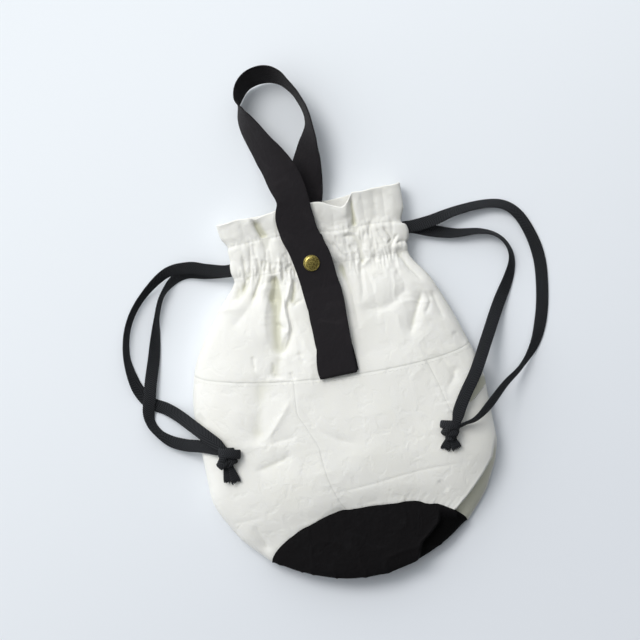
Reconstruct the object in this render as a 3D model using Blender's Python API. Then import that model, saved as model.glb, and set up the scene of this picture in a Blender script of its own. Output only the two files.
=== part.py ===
"""Kinchaku drawstring pouch with a wrist strap, lying empty on its back.

Metres, +Z up. The pouch's long axis is Y, with the mouth towards +Y and the base towards -Y.
The origin is on the surface the pouch lies on, under the middle of its body.
"""

import math

import bmesh
import bpy
from mathutils import Vector

MM = 0.001

# Cloth and sewing
CLOTH = 0.8 * MM  # one layer of the body's cloth with its turned seam allowance
SEAM_GAP = 0.3 * MM  # between pieces that are sewn edge to edge
RIM_GAP = 0.6 * MM  # between the walls and the base, which meet at an angle
CLEAR = 0.3 * MM  # between pieces that lie on each other
BAND_CELL = 9 * MM  # a twisted band is cut lengthwise into strips of about this width

# Lengths of the walls along Y, from the ends of the folded base up to the mouth
RIM_Y = -122 * MM
LOWER_LENGTH = 158 * MM
UPPER_LENGTH = 79 * MM
CHANNEL_LENGTH = 26 * MM
FRILL_LENGTH = 25 * MM
SEAM_Y = RIM_Y + LOWER_LENGTH
CHANNEL_Y = SEAM_Y + UPPER_LENGTH
FRILL_Y = CHANNEL_Y + CHANNEL_LENGTH
MOUTH_Y = FRILL_Y + FRILL_LENGTH

# Half widths of the flattened pouch
BASE_HALF_WIDTH = 84 * MM
BODY_HALF_WIDTH = 123 * MM
NECK_HALF_WIDTH = 74 * MM
MOUTH_HALF_WIDTH = 79.5 * MM
NECK_SHIFT = 8 * MM  # the neck lies this far to the right of the body

# Heights above the surface
RIM_HEIGHT = 28 * MM
BODY_HEIGHT = 36 * MM
NECK_HEIGHT = 22.5 * MM
MOUTH_HEIGHT = 25 * MM
BODY_EDGE_HEIGHT = 9 * MM  # where the front turns into the back at the sides
NECK_EDGE_HEIGHT = 11 * MM

# How far a row's middle lies nearer the mouth than its ends
FRONT_RIM_RISE = 31 * MM
BACK_RIM_RISE = 27 * MM
SEAM_SAG = -16 * MM
SEAM_TILT = -10 * MM  # the right end of a row against its left one
CHANNEL_TILT = -3.5 * MM
MOUTH_TILT = 2 * MM

# The gathers that the drawstrings pull in, and the frill above them
GATHER_DEPTH = 1.8 * MM
GATHERS = 9.5  # pleats across the front
UNEVEN_GATHERS = 2.6  # groups of deeper and shallower ones among them
FRILL_DEPTH = 3.5 * MM
FRILL_WAVES = 3.85
FACING_INSET = 1.9 * MM  # the turned-in hem, from the middle of the wall's cloth
CHANNEL_INSET = 5.3 * MM  # the same, where the drawstrings run behind it
CHANNEL_MARGIN = 2.9 * MM  # from a row of stitches to where the channel is full
FACING_REACH = 0.9  # the hem stops this far round each side, in radians
CHANNEL_RIPPLE = 0.25  # the hem's share of the gathers in the channel

# Where the lower body's four panels meet, as shares of the half width
FRONT_SEAM_LEFT = -0.27
FRONT_SEAM_RIGHT = 0.72
BACK_SEAM_LEFT = -0.75
BACK_SEAM_RIGHT = 0.25

# The base, folded outwards across its middle
FOLD_REACH = 57 * MM  # from the wall's seam to the fold, in the middle
FOLD_DROP = 1.3
BASE_END = 0.85  # share of a quarter turn that the base reaches round its ends
BASE_END_GAP = 1.6 * MM

# The strap
STRAP_WIDTH = 30 * MM
STRAP_THICKNESS = 1.5 * MM
STRAP_X = 4 * MM
STRAP_END_Y = SEAM_Y - 15 * MM  # the folded end that hangs on the front
STRAP_ANCHOR_Y = FRILL_Y - 4 * MM  # the end that is sewn on the front
STRAP_INNER_END_Y = FRILL_Y - 10 * MM  # the end that is sewn inside the back
LOOP_REACH = 116.5 * MM  # from the mouth to the top of the loop
STRAP_FOLD_GAP = 1.2 * MM

# The snap fastener, closed
SNAP_Y = FRILL_Y - 24 * MM
SNAP_X = 0.5 * MM
SNAP_RADIUS = 6.8 * MM
SNAP_CAP_HEIGHT = 1.5 * MM
SNAP_SHANK_RADIUS = 1.8 * MM
SNAP_FLANGE = 0.5 * MM
SNAP_FLANGE_RADIUS = 5.6 * MM
SOCKET_RADIUS = 6 * MM
SOCKET_HEIGHT = 1.6 * MM
SOCKET_WALL = 0.6 * MM
STUD_KNOB_RADIUS = 2.2 * MM
STUD_KNOB_HEIGHT = 1.2 * MM
STUD_FLANGE = 0.6 * MM
SNAP_SIDES = 24

# The flat braided drawstrings
TAPE_WIDTH = 10.5 * MM
HELD_TAPE_WIDTH = 9.3 * MM  # squeezed narrower inside the channel
TAPE_THICKNESS = 1.4 * MM
TAPE_TURN = 13 * MM  # from the neck's side to where a tape starts to turn back
HOLE_LENGTH = 12.8 * MM
HOLE_HEIGHT = 6.4 * MM
HOLE_DEPTH = 9 * MM

WHITE = (0.86, 0.85, 0.80, 1)
BLACK = (0.016, 0.014, 0.016, 1)
CORD_BLACK = (0.012, 0.013, 0.017, 1)
BRASS = (0.52, 0.40, 0.16, 1)

QUARTER = math.pi / 2


def share(start, end, part):
    return start + (end - start) * part


def eased(stations, at):
    """A smooth curve through (place, value) stations that never overshoots them."""
    if at <= stations[0][0]:
        return stations[0][1]
    for index in range(len(stations) - 1):
        (x0, y0), (x1, y1) = stations[index], stations[index + 1]
        if at <= x1:
            slope = (y1 - y0) / (x1 - x0)
            before = slope
            after = slope
            if index > 0:
                before = joined_slope(stations[index - 1], (x0, y0), (x1, y1))
            if index < len(stations) - 2:
                after = joined_slope((x0, y0), (x1, y1), stations[index + 2])
            span = x1 - x0
            t = (at - x0) / span
            return (
                y0 * (1 + 2 * t) * (1 - t) ** 2
                + before * span * t * (1 - t) ** 2
                + y1 * t * t * (3 - 2 * t)
                - after * span * t * t * (1 - t)
            )
    return stations[-1][1]


def joined_slope(before, here, after):
    """The slope at a station: none at a peak or a dip, and a mean of its two sides elsewhere."""
    left = (here[1] - before[1]) / (here[0] - before[0])
    right = (after[1] - here[1]) / (after[0] - here[0])
    if left * right <= 0:
        return 0.0
    return 2 * left * right / (left + right)


LOWER_CORNER_Y = RIM_Y + 0.17 * LOWER_LENGTH
WIDEST_Y = RIM_Y + 0.42 * LOWER_LENGTH
STILL_WIDE_Y = RIM_Y + 0.78 * LOWER_LENGTH
SHOULDER_Y = SEAM_Y + 0.68 * UPPER_LENGTH

HALF_WIDTHS = [
    (RIM_Y, BASE_HALF_WIDTH),
    (LOWER_CORNER_Y, share(BASE_HALF_WIDTH, BODY_HALF_WIDTH, 0.6)),
    (WIDEST_Y, BODY_HALF_WIDTH),
    (STILL_WIDE_Y, BODY_HALF_WIDTH),
    (SEAM_Y, share(BODY_HALF_WIDTH, NECK_HALF_WIDTH, 0.14)),
    (SHOULDER_Y, share(BODY_HALF_WIDTH, NECK_HALF_WIDTH, 0.67)),
    (CHANNEL_Y, NECK_HALF_WIDTH),
    (FRILL_Y, NECK_HALF_WIDTH),
    (share(FRILL_Y, MOUTH_Y, 0.4), share(NECK_HALF_WIDTH, MOUTH_HALF_WIDTH, 0.75)),
    (MOUTH_Y, MOUTH_HALF_WIDTH),
]
SHIFTS = [(RIM_Y, 0), (SEAM_Y, 0), (SHOULDER_Y, 0.8 * NECK_SHIFT), (CHANNEL_Y, NECK_SHIFT)]
FRONT_HEIGHTS = [
    (RIM_Y, RIM_HEIGHT),
    (LOWER_CORNER_Y, share(RIM_HEIGHT, BODY_HEIGHT, 0.6)),
    (WIDEST_Y, BODY_HEIGHT),
    (SEAM_Y, share(BODY_HEIGHT, NECK_HEIGHT, 0.15)),
    (SHOULDER_Y, share(BODY_HEIGHT, NECK_HEIGHT, 0.65)),
    (CHANNEL_Y, NECK_HEIGHT),
    (FRILL_Y, NECK_HEIGHT),
    (MOUTH_Y, MOUTH_HEIGHT),
]
EDGE_HEIGHTS = [(RIM_Y, BODY_EDGE_HEIGHT), (SEAM_Y, BODY_EDGE_HEIGHT), (CHANNEL_Y, NECK_EDGE_HEIGHT)]
CROWNS = [(RIM_Y, 0.6), (WIDEST_Y, 0.7), (SEAM_Y, 0.7), (CHANNEL_Y, 0.36)]
FRONT_RISES = [
    (RIM_Y, FRONT_RIM_RISE),
    (LOWER_CORNER_Y, 0.62 * FRONT_RIM_RISE),
    (WIDEST_Y, 0.2 * FRONT_RIM_RISE),
    (SEAM_Y, SEAM_SAG),
    (CHANNEL_Y, 0),
]
BACK_RISES = [(RIM_Y, BACK_RIM_RISE), (WIDEST_Y, 0.2 * BACK_RIM_RISE), (SEAM_Y, 0)]
TILTS = [
    (WIDEST_Y, 0),
    (SEAM_Y, SEAM_TILT),
    (CHANNEL_Y, CHANNEL_TILT),
    (FRILL_Y, CHANNEL_TILT),
    (MOUTH_Y, MOUTH_TILT),
]
GATHER_STRENGTHS = [
    (SEAM_Y, 0),
    (SHOULDER_Y, 0.3),
    (CHANNEL_Y, 1),
    (FRILL_Y, 1),
    (MOUTH_Y, 0.1),
]
FRILL_STRENGTHS = [(FRILL_Y, 0), (MOUTH_Y, 1)]
BACK_FLAT = 0.5  # the back lies flat where it is turned at least this far down
RIM_CURVE = 1.2


def ring(angle, y):
    """A point of the walls without gathers. The angle is 0 on the front, a quarter turn at the right edge."""
    facing, side = math.cos(angle), math.sin(angle)
    edge, crown = eased(EDGE_HEIGHTS, y), eased(CROWNS, y)
    if facing >= 0:
        height = share(edge, eased(FRONT_HEIGHTS, y), facing**crown)
        rise = eased(FRONT_RISES, y)
    else:
        height = share(edge, back_height(y), min(1.0, -facing / BACK_FLAT) ** crown)
        rise = eased(BACK_RISES, y)
    along = y + rise * abs(facing) ** RIM_CURVE + eased(TILTS, y) * side
    return Vector((eased(SHIFTS, y) + eased(HALF_WIDTHS, y) * side, along, height))


def back_height(y):
    """The back's middle layer, high enough for its gathers to stay above the surface."""
    gathers = GATHER_DEPTH * eased(GATHER_STRENGTHS, y)
    return CLOTH / 2 + gathers + FRILL_DEPTH * eased(FRILL_STRENGTHS, y)


def front_height(x, y):
    """The height of the front's outer surface above a point of the floor."""
    row = y
    for _ in range(6):
        side = (x - eased(SHIFTS, row)) / eased(HALF_WIDTHS, row)
        angle = math.asin(min(max(side, -0.999), 0.999))
        row = y - (ring(angle, row).y - row)
    return ring(angle, row).z + CLOTH / 2


def outward(angle, y):
    step = 1e-4
    across = ring(angle + step, y) - ring(angle - step, y)
    upward = ring(angle, y + step) - ring(angle, y - step)
    return across.cross(upward).normalized()


def gathered(angle, y):
    """How far the gathers and the frill push the cloth outwards at a point."""
    side = math.sin(angle)
    back = math.cos(angle) < 0
    fade = 1 - abs(side) ** 8
    pleats = math.cos(math.pi * GATHERS * side + (1.2 if back else 0.4))
    pleats *= 0.7 + 0.3 * math.cos(math.pi * UNEVEN_GATHERS * side + (2.4 if back else 0.9))
    waves = math.cos(math.pi * FRILL_WAVES * side + (2.0 if back else 0.55))
    fine = GATHER_DEPTH * eased(GATHER_STRENGTHS, y) * pleats
    return fade * (fine + FRILL_DEPTH * eased(FRILL_STRENGTHS, y) * waves)


def wall(angle, y, inset=0.0, ripple=1.0):
    return ring(angle, y) + outward(angle, y) * (gathered(angle, y) * ripple - inset)


def even_angles(start, end, count, y):
    """Angles that cut the ring at y, from start to end, into lengths that are about equal."""
    fine = [share(start, end, i / 400) for i in range(401)]
    points = [ring(angle, y) for angle in fine]
    along = [0.0]
    for before, after in zip(points, points[1:]):
        along.append(along[-1] + (after - before).length)
    found, index = [], 0
    for step in range(count + 1):
        wanted = along[-1] * step / count
        while index < 399 and along[index + 1] < wanted:
            index += 1
        span = max(along[index + 1] - along[index], 1e-9)
        part = (wanted - along[index]) / span
        found.append(share(fine[index], fine[index + 1], part))
    return found


def material(name, colour, roughness, metallic=0.0):
    made = bpy.data.materials.new(name)
    made.use_nodes = True
    shader = made.node_tree.nodes["Principled BSDF"]
    shader.inputs["Base Color"].default_value = colour
    shader.inputs["Roughness"].default_value = roughness
    shader.inputs["Metallic"].default_value = metallic
    return made


def new_object(name, build, look, parent):
    """An object from a bmesh, shaded smooth, with its normals facing out."""
    bmesh.ops.recalc_face_normals(build, faces=build.faces)
    mesh = bpy.data.meshes.new(name)
    build.to_mesh(mesh)
    build.free()
    mesh.materials.append(look)
    mesh.shade_smooth()
    mesh.set_sharp_from_angle(angle=math.radians(50))
    made = bpy.data.objects.new(name, mesh)
    made.parent = parent
    bpy.context.scene.collection.objects.link(made)
    return made


def cloth_sheet(name, rows, look, parent):
    """Cloth of even thickness round a grid of points. A cell with a missing corner is left out."""
    build = bmesh.new()
    grid = [[build.verts.new(p) if p is not None else None for p in row] for row in rows]
    for lower, upper in zip(grid, grid[1:]):
        for i in range(len(lower) - 1):
            corners = [lower[i], lower[i + 1], upper[i + 1], upper[i]]
            if None not in corners:
                build.faces.new(corners)
    made = new_object(name, build, look, parent)
    solid = made.modifiers.new("Thickness", "SOLIDIFY")
    solid.thickness = CLOTH
    solid.offset = 0
    return made


def band(name, points, across, width, thickness, look, parent):
    """A flat band along points. across gives the direction of its width at each of them."""
    build = bmesh.new()
    cells = max(2, round(width / BAND_CELL))
    shares = [2 * i / cells - 1 for i in range(cells + 1)]
    section = [(x, -1) for x in shares] + [(x, 1) for x in reversed(shares)]
    rings = []
    for index, point in enumerate(points):
        before = points[max(index - 1, 0)]
        after = points[min(index + 1, len(points) - 1)]
        along = (after - before).normalized()
        side = (across[index] - along * across[index].dot(along)).normalized()
        up = side.cross(along)
        corners = []
        for x, z in section:
            corners.append(build.verts.new(point + side * (x * width / 2) + up * (z * thickness / 2)))
        rings.append(corners)
    for first, second in zip(rings, rings[1:]):
        for i in range(len(section)):
            j = (i + 1) % len(section)
            build.faces.new((first[i], first[j], second[j], second[i]))
    build.faces.new(rings[0])
    build.faces.new(list(reversed(rings[-1])))
    return new_object(name, build, look, parent)


def curve_through(points, spacing):
    """Vectors of any size on a smooth curve through points, about spacing apart."""
    placed = [Vector(p) for p in points]
    found = []
    for index in range(len(placed) - 1):
        p1, p2 = placed[index], placed[index + 1]
        p0 = placed[index - 1] if index else p1 * 2 - p2
        p3 = placed[index + 2] if index + 2 < len(placed) else p2 * 2 - p1
        steps = max(1, round((p2.xyz - p1.xyz).length / spacing))
        for step in range(steps):
            found.append(catmull_rom(p0, p1, p2, p3, step / steps))
    found.append(placed[-1])
    return found


def catmull_rom(p0, p1, p2, p3, t):
    return 0.5 * (
        p1 * 2
        + (p2 - p0) * t
        + (p0 * 2 - p1 * 5 + p2 * 4 - p3) * t * t
        + (p1 * 3 - p0 - p2 * 3 + p3) * t * t * t
    )


def leaning(along, lean):
    """The width direction of a band: to the right of the way it runs, turned up by lean degrees."""
    right = along.cross(Vector((0, 0, 1)))
    if right.length < 1e-6:
        right = Vector((1, 0, 0))
    angle = math.radians(lean)
    return right.normalized() * math.cos(angle) + Vector((0, 0, 1)) * math.sin(angle)


def turned(name, outline, place, look, parent):
    """A round piece from (radius, height) points that run from its lower middle up to its upper middle."""
    build = bmesh.new()
    verts = [build.verts.new((radius, 0, height)) for radius, height in outline]
    edges = [build.edges.new(pair) for pair in zip(verts, verts[1:])]
    bmesh.ops.spin(
        build,
        geom=verts + edges,
        cent=(0, 0, 0),
        axis=(0, 0, 1),
        angle=2 * math.pi,
        steps=SNAP_SIDES,
        use_duplicate=False,
    )
    bmesh.ops.remove_doubles(build, verts=build.verts, dist=1e-6)
    made = new_object(name, build, look, parent)
    made.location = place
    return made


# Walls

FRONT_COLUMNS = 42
GATHERED_ROWS = [
    SEAM_Y + SEAM_GAP / 2,
    share(SEAM_Y, SHOULDER_Y, 0.36),
    share(SEAM_Y, SHOULDER_Y, 0.7),
    SHOULDER_Y,
    share(SHOULDER_Y, CHANNEL_Y, 0.5),
    CHANNEL_Y,
    share(CHANNEL_Y, FRILL_Y, 0.5),
    FRILL_Y,
    share(FRILL_Y, MOUTH_Y, 0.5),
    MOUTH_Y,
]
HEM_ROWS = [  # (place, inset, share of the gathers) down the inside, from the mouth's fold
    (MOUTH_Y + FACING_INSET / 2, FACING_INSET / 2, 1.0),
    (MOUTH_Y, FACING_INSET, 1.0),
    (share(FRILL_Y, MOUTH_Y, 0.5), FACING_INSET, 1.0),
    (FRILL_Y, FACING_INSET, 1.0),
    (FRILL_Y - CHANNEL_MARGIN, CHANNEL_INSET, CHANNEL_RIPPLE),
    (CHANNEL_Y + CHANNEL_MARGIN, CHANNEL_INSET, CHANNEL_RIPPLE),
    (CHANNEL_Y, FACING_INSET, 1.0),
]


def panel_reach(y, is_front):
    """The angle from a panel's middle to its side seam, short of a quarter turn by half the gap."""
    edge = eased(EDGE_HEIGHTS, y)
    height = eased(FRONT_HEIGHTS, y) - edge if is_front else edge - back_height(y)
    short = (SEAM_GAP * 0.6 / height) ** (1 / eased(CROWNS, y))
    return QUARTER - math.asin(short * (1 if is_front else BACK_FLAT))


def panel_angle(angle, centre, y):
    reach = panel_reach(y, centre == 0)
    return min(max(angle, centre - reach), centre + reach)


def upper_panel(name, centre, look, parent):
    """Half of the upper body, from the main seam to the mouth, with its hem turned in as the channel."""
    reach = panel_reach(CHANNEL_Y, centre == 0)
    angles = even_angles(centre - reach, centre + reach, FRONT_COLUMNS, CHANNEL_Y)
    rows = [[wall(panel_angle(a, centre, y), y) for a in angles] for y in GATHERED_ROWS]
    for y, inset, ripple in HEM_ROWS:
        near = [abs(angle - centre) < FACING_REACH for angle in angles]
        rows.append([wall(a, y, inset, ripple) if keep else None for a, keep in zip(angles, near)])
    return cloth_sheet(name, rows, look, parent)


LOWER_ROWS = 8


def lower_panel(name, start, end, columns, look, parent):
    """A panel of the lower body, from the base's seam to the main seam, between two angles."""
    gap = SEAM_GAP / 2 / BASE_HALF_WIDTH
    start_gap = gap / abs(math.cos(start))
    end_gap = gap / abs(math.cos(end))
    angles = even_angles(start + start_gap, end - end_gap, columns, WIDEST_Y)
    rows = []
    for index in range(LOWER_ROWS + 1):
        part = (index / LOWER_ROWS) ** 1.25
        rows.append([wall(a, share(RIM_Y, SEAM_Y - SEAM_GAP / 2, part)) for a in angles])
    return cloth_sheet(name, rows, look, parent)


def base_point(angle, turn):
    """A point of the folded base, from the front rim (turn 0) round the fold to the back rim (turn pi)."""
    front, back = ring(angle, RIM_Y), ring(math.pi - angle, RIM_Y)
    reach = FOLD_REACH * (1 - math.sin(angle) ** 2) ** 0.8
    y = share(front.y, back.y, turn / math.pi) - reach * math.sin(turn)
    drop = ((1 + math.cos(turn)) / 2) ** FOLD_DROP
    return Vector((front.x, y, share(back.z, front.z, drop)))


BASE_COLUMNS = 20
BASE_ROWS = 10


def base_panel(look, parent):
    reach = BASE_END * QUARTER
    angles = even_angles(-reach, reach, BASE_COLUMNS, RIM_Y)
    columns = []
    for angle in angles:
        gap = RIM_GAP + BASE_END_GAP * abs(math.sin(angle)) ** 6
        fine = [base_point(angle, math.pi * i / 200) for i in range(201)]
        length = sum((b - a).length for a, b in zip(fine, fine[1:]))
        column = []
        for row in range(BASE_ROWS + 1):
            wanted = share(gap, length - gap, row / BASE_ROWS)
            column.append(point_along(fine, wanted))
        columns.append(column)
    rows = [[column[row] for column in columns] for row in range(BASE_ROWS + 1)]
    return cloth_sheet("base_panel", rows, look, parent)


def point_along(points, wanted):
    for before, after in zip(points, points[1:]):
        step = (after - before).length
        if wanted <= step:
            return before.lerp(after, wanted / step)
        wanted -= step
    return points[-1].copy()


# Strap and snap

def cloth_top(y):
    """The highest that the front's cloth reaches at y."""
    waves = GATHER_DEPTH * eased(GATHER_STRENGTHS, y) + FRILL_DEPTH * eased(FRILL_STRENGTHS, y)
    return eased(FRONT_HEIGHTS, y) + waves + CLOTH / 2


UNDER_LAYER_Z = cloth_top(SNAP_Y) + SNAP_FLANGE + 2 * CLEAR + STRAP_THICKNESS / 2
SNAP_GAP = SOCKET_HEIGHT + STUD_FLANGE + 3 * CLEAR  # between the strap's layers at the snap
UPPER_LAYER_Z = UNDER_LAYER_Z + STRAP_THICKNESS + SNAP_GAP
OVER_MOUTH_Z = cloth_top(MOUTH_Y) + CLEAR + STRAP_THICKNESS / 2
INNER_END_Z = back_height(FRILL_Y) + GATHER_DEPTH * CHANNEL_RIPPLE + CHANNEL_INSET
INNER_END_Z += CLOTH / 2 + 2 * CLEAR + STRAP_THICKNESS / 2
INNER_MOUTH_Z = back_height(MOUTH_Y) + FRILL_DEPTH + FACING_INSET
INNER_MOUTH_Z += CLOTH / 2 + 2 * CLEAR + STRAP_THICKNESS / 2
ON_EDGE_Z = STRAP_WIDTH / 2 + 0.8 * MM  # the strap's middle where it stands on its edge

# The loop: x and y from the mouth as shares of its reach, height of the middle, and lean in
# degrees, 90 on its edge
LOOP_ABOVE_MOUTH = [
    (-0.047, -0.069, OVER_MOUTH_Z, 0),
    (-0.047, 0.043, OVER_MOUTH_Z, 0),
    (-0.060, 0.163, OVER_MOUTH_Z - 1 * MM, 6),
    (-0.094, 0.300, OVER_MOUTH_Z - 4 * MM, 25),
    (-0.155, 0.446, ON_EDGE_Z + 6 * MM, 44),
    (-0.236, 0.652, ON_EDGE_Z + 1 * MM, 64),
    (-0.266, 0.833, ON_EDGE_Z, 88),
    (-0.220, 0.936, ON_EDGE_Z, 112),
    (-0.137, 0.991, ON_EDGE_Z, 120),
    (-0.043, 1.000, ON_EDGE_Z, 119),
    (0.034, 0.961, ON_EDGE_Z, 114),
    (0.090, 0.893, ON_EDGE_Z, 104),
    (0.142, 0.798, ON_EDGE_Z, 100),
    (0.179, 0.687, ON_EDGE_Z, 101),
    (0.185, 0.584, ON_EDGE_Z, 105),
    (0.170, 0.481, ON_EDGE_Z - 1 * MM, 118),
    (0.142, 0.378, ON_EDGE_Z - 3 * MM, 132),
    (0.107, 0.258, INNER_MOUTH_Z + 1.5 * MM, 150),
    (0.069, 0.120, INNER_MOUTH_Z + 0.5 * MM, 172),
]
STRAP_LOOP = [(x * LOOP_REACH, MOUTH_Y + y * LOOP_REACH, z, lean) for x, y, z, lean in LOOP_ABOVE_MOUTH]
STRAP_LOOP += [
    (4.5 * MM, MOUTH_Y, INNER_MOUTH_Z, 180),
    (3 * MM, share(FRILL_Y, MOUTH_Y, 0.45), share(INNER_END_Z, INNER_MOUTH_Z, 0.5), 180),
    (2 * MM, FRILL_Y - CHANNEL_MARGIN, INNER_END_Z, 180),
    (1.5 * MM, STRAP_INNER_END_Y, INNER_END_Z, 180),
]
STRAP_SPACING = 6.5 * MM
FLAT_SPACING = 10 * MM


def strap_layer(stations, lowest):
    """Points of a layer of the strap's flat part, from its first station to its last one."""
    by_y = sorted(stations, key=lambda station: station[1])
    xs, zs = [(y, x) for x, y, z in by_y], [(y, z) for x, y, z in by_y]
    start, end = stations[0][1], stations[-1][1]
    count = round(abs(end - start) / FLAT_SPACING)
    places = [share(start, end, i / count) for i in range(count + 1)]
    return [Vector((eased(xs, y), y, max(eased(zs, y), lowest(y)))) for y in places]


def flat_strap():
    """The folded part of the strap: the under layer, the fold and the upper layer up to the frill."""
    rise = STRAP_THICKNESS + STRAP_FOLD_GAP
    end_z = cloth_top(STRAP_END_Y) + 2 * CLEAR + STRAP_THICKNESS / 2
    flat = SNAP_RADIUS + 4 * MM
    under = [
        (SNAP_X - 1.5 * MM, STRAP_ANCHOR_Y, UNDER_LAYER_Z),
        (SNAP_X, SNAP_Y + flat, UNDER_LAYER_Z),
        (SNAP_X + 1 * MM, SNAP_Y - flat, UNDER_LAYER_Z),
        (STRAP_X, STRAP_END_Y + rise / 2, end_z),
    ]
    over = [
        (STRAP_X, STRAP_END_Y + rise / 2, end_z + rise),
        (SNAP_X + 1 * MM, SNAP_Y - flat, UPPER_LAYER_Z),
        (SNAP_X - 0.5 * MM, SNAP_Y + flat, UPPER_LAYER_Z),
        (-3.5 * MM, FRILL_Y + 1 * MM, share(UPPER_LAYER_Z, OVER_MOUTH_Z, 0.6)),
    ]
    fold = [
        (STRAP_X, STRAP_END_Y + 0.2 * rise, end_z + 0.15 * rise),
        (STRAP_X, STRAP_END_Y, end_z + 0.5 * rise),
        (STRAP_X, STRAP_END_Y + 0.2 * rise, end_z + 0.85 * rise),
    ]

    def rest(y):
        return cloth_top(y) + 2 * CLEAR + STRAP_THICKNESS / 2

    lower = strap_layer(under, rest)
    upper = strap_layer(over, lambda y: rest(y) + rise)
    return lower + [Vector(p) for p in fold] + upper[:-1], (*over[-1], 0)


def strap(look, parent):
    flat, last = flat_strap()
    loop = [last] + STRAP_LOOP
    points = curve_through([p[:3] for p in loop], STRAP_SPACING)
    leans = lean_along(loop, points)
    across = [Vector((1, 0, 0))] * len(flat) + leaned(points, leans)
    made = band("handle_strap", flat + points, across, STRAP_WIDTH, STRAP_THICKNESS, look, parent)
    cut_round_hole(made, SNAP_SHANK_RADIUS + CLEAR, parent)
    return made


def leaned(points, leans):
    """The directions of a band's width along points, from its leans in degrees."""
    found = []
    for index, lean in enumerate(leans):
        before = points[max(index - 1, 0)]
        after = points[min(index + 1, len(points) - 1)]
        found.append(leaning(after - before, lean))
    return found


def lean_along(stations, points):
    """The lean at each point of the curve through stations, eased between them."""
    places = [0.0]
    for before, after in zip(stations, stations[1:]):
        places.append(places[-1] + (Vector(after[:3]) - Vector(before[:3])).length)
    table = list(zip(places, [s[3] for s in stations]))
    reached, found = 0.0, [stations[0][3]]
    total = sum((b - a).length for a, b in zip(points, points[1:]))
    for before, after in zip(points, points[1:]):
        reached += (after - before).length
        found.append(eased(table, reached * places[-1] / total))
    return found


def cut_round_hole(made, radius, parent):
    """The snap's hole through the strap's two layers."""
    build = bmesh.new()
    bmesh.ops.create_cone(
        build, cap_ends=True, segments=16, radius1=radius, radius2=radius, depth=40 * MM
    )
    cutter = new_object("snap_hole_cutter", build, made.data.materials[0], parent)
    cutter.location = (SNAP_X, SNAP_Y, UPPER_LAYER_Z)
    hide_helper(cutter)
    cut(made, cutter)


def hide_helper(helper):
    helper.hide_render = True
    helper.display_type = "WIRE"


def cut(made, cutter):
    boolean = made.modifiers.new("Cut " + cutter.name, "BOOLEAN")
    boolean.operation = "DIFFERENCE"
    boolean.object = cutter


def snap(look, parent):
    """The cap and socket on the strap's upper layer, and the stud and its post on the under layer."""
    place = Vector((SNAP_X, SNAP_Y, 0))
    up = Vector((0, 0, 1))
    upper_top = UPPER_LAYER_Z + STRAP_THICKNESS / 2
    upper_low = UPPER_LAYER_Z - STRAP_THICKNESS / 2
    under_top = UNDER_LAYER_Z + STRAP_THICKNESS / 2
    under_low = UNDER_LAYER_Z - STRAP_THICKNESS / 2
    shank = SNAP_SHANK_RADIUS
    through = STRAP_THICKNESS + CLEAR
    dome = [
        (SNAP_RADIUS * math.cos(t), SNAP_CAP_HEIGHT * (0.35 + 0.65 * math.sin(t)))
        for t in (0.0, 0.35, 0.7, 1.1, QUARTER)
    ]
    turned(
        "snap_cap",
        [(0, -through), (shank, -through), (shank, 0), (SNAP_RADIUS, 0)] + dome,
        place + up * (upper_top + CLEAR),
        look,
        parent,
    )
    mouth = STUD_KNOB_RADIUS + CLEAR
    turned(
        "snap_socket",
        [
            (0, -SOCKET_WALL),
            (mouth, -SOCKET_WALL),
            (mouth, -SOCKET_HEIGHT),
            (SOCKET_RADIUS - SOCKET_WALL, -SOCKET_HEIGHT),
            (SOCKET_RADIUS, -SOCKET_HEIGHT + SOCKET_WALL),
            (SOCKET_RADIUS, 0),
            (0, 0),
        ],
        place + up * (upper_low - CLEAR),
        look,
        parent,
    )
    knob = STUD_FLANGE + STUD_KNOB_HEIGHT - CLEAR
    turned(
        "snap_stud",
        [
            (0, 0),
            (SOCKET_RADIUS, 0),
            (SOCKET_RADIUS, STUD_FLANGE),
            (STUD_KNOB_RADIUS - 0.3 * MM, STUD_FLANGE),
            (STUD_KNOB_RADIUS, share(STUD_FLANGE, knob, 0.6)),
            (STUD_KNOB_RADIUS - 0.5 * MM, knob),
            (0, knob),
        ],
        place + up * (under_top + CLEAR),
        look,
        parent,
    )
    turned(
        "snap_post",
        [
            (0, -SNAP_FLANGE),
            (SNAP_FLANGE_RADIUS, -SNAP_FLANGE),
            (SNAP_FLANGE_RADIUS, 0),
            (shank, 0),
            (shank, through),
            (0, through),
        ],
        place + up * (under_low - CLEAR),
        look,
        parent,
    )


# Drawstrings: x, y, height and lean of the part that lies outside, from the hole to the knot

LEFT_Y = CHANNEL_Y + CHANNEL_MARGIN + CLEAR + HELD_TAPE_WIDTH / 2
RIGHT_Y = FRILL_Y - CHANNEL_MARGIN - CLEAR - HELD_TAPE_WIDTH / 2
TAPE_INSET = GATHER_DEPTH + CLOTH / 2 + CLEAR + TAPE_THICKNESS / 2

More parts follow.
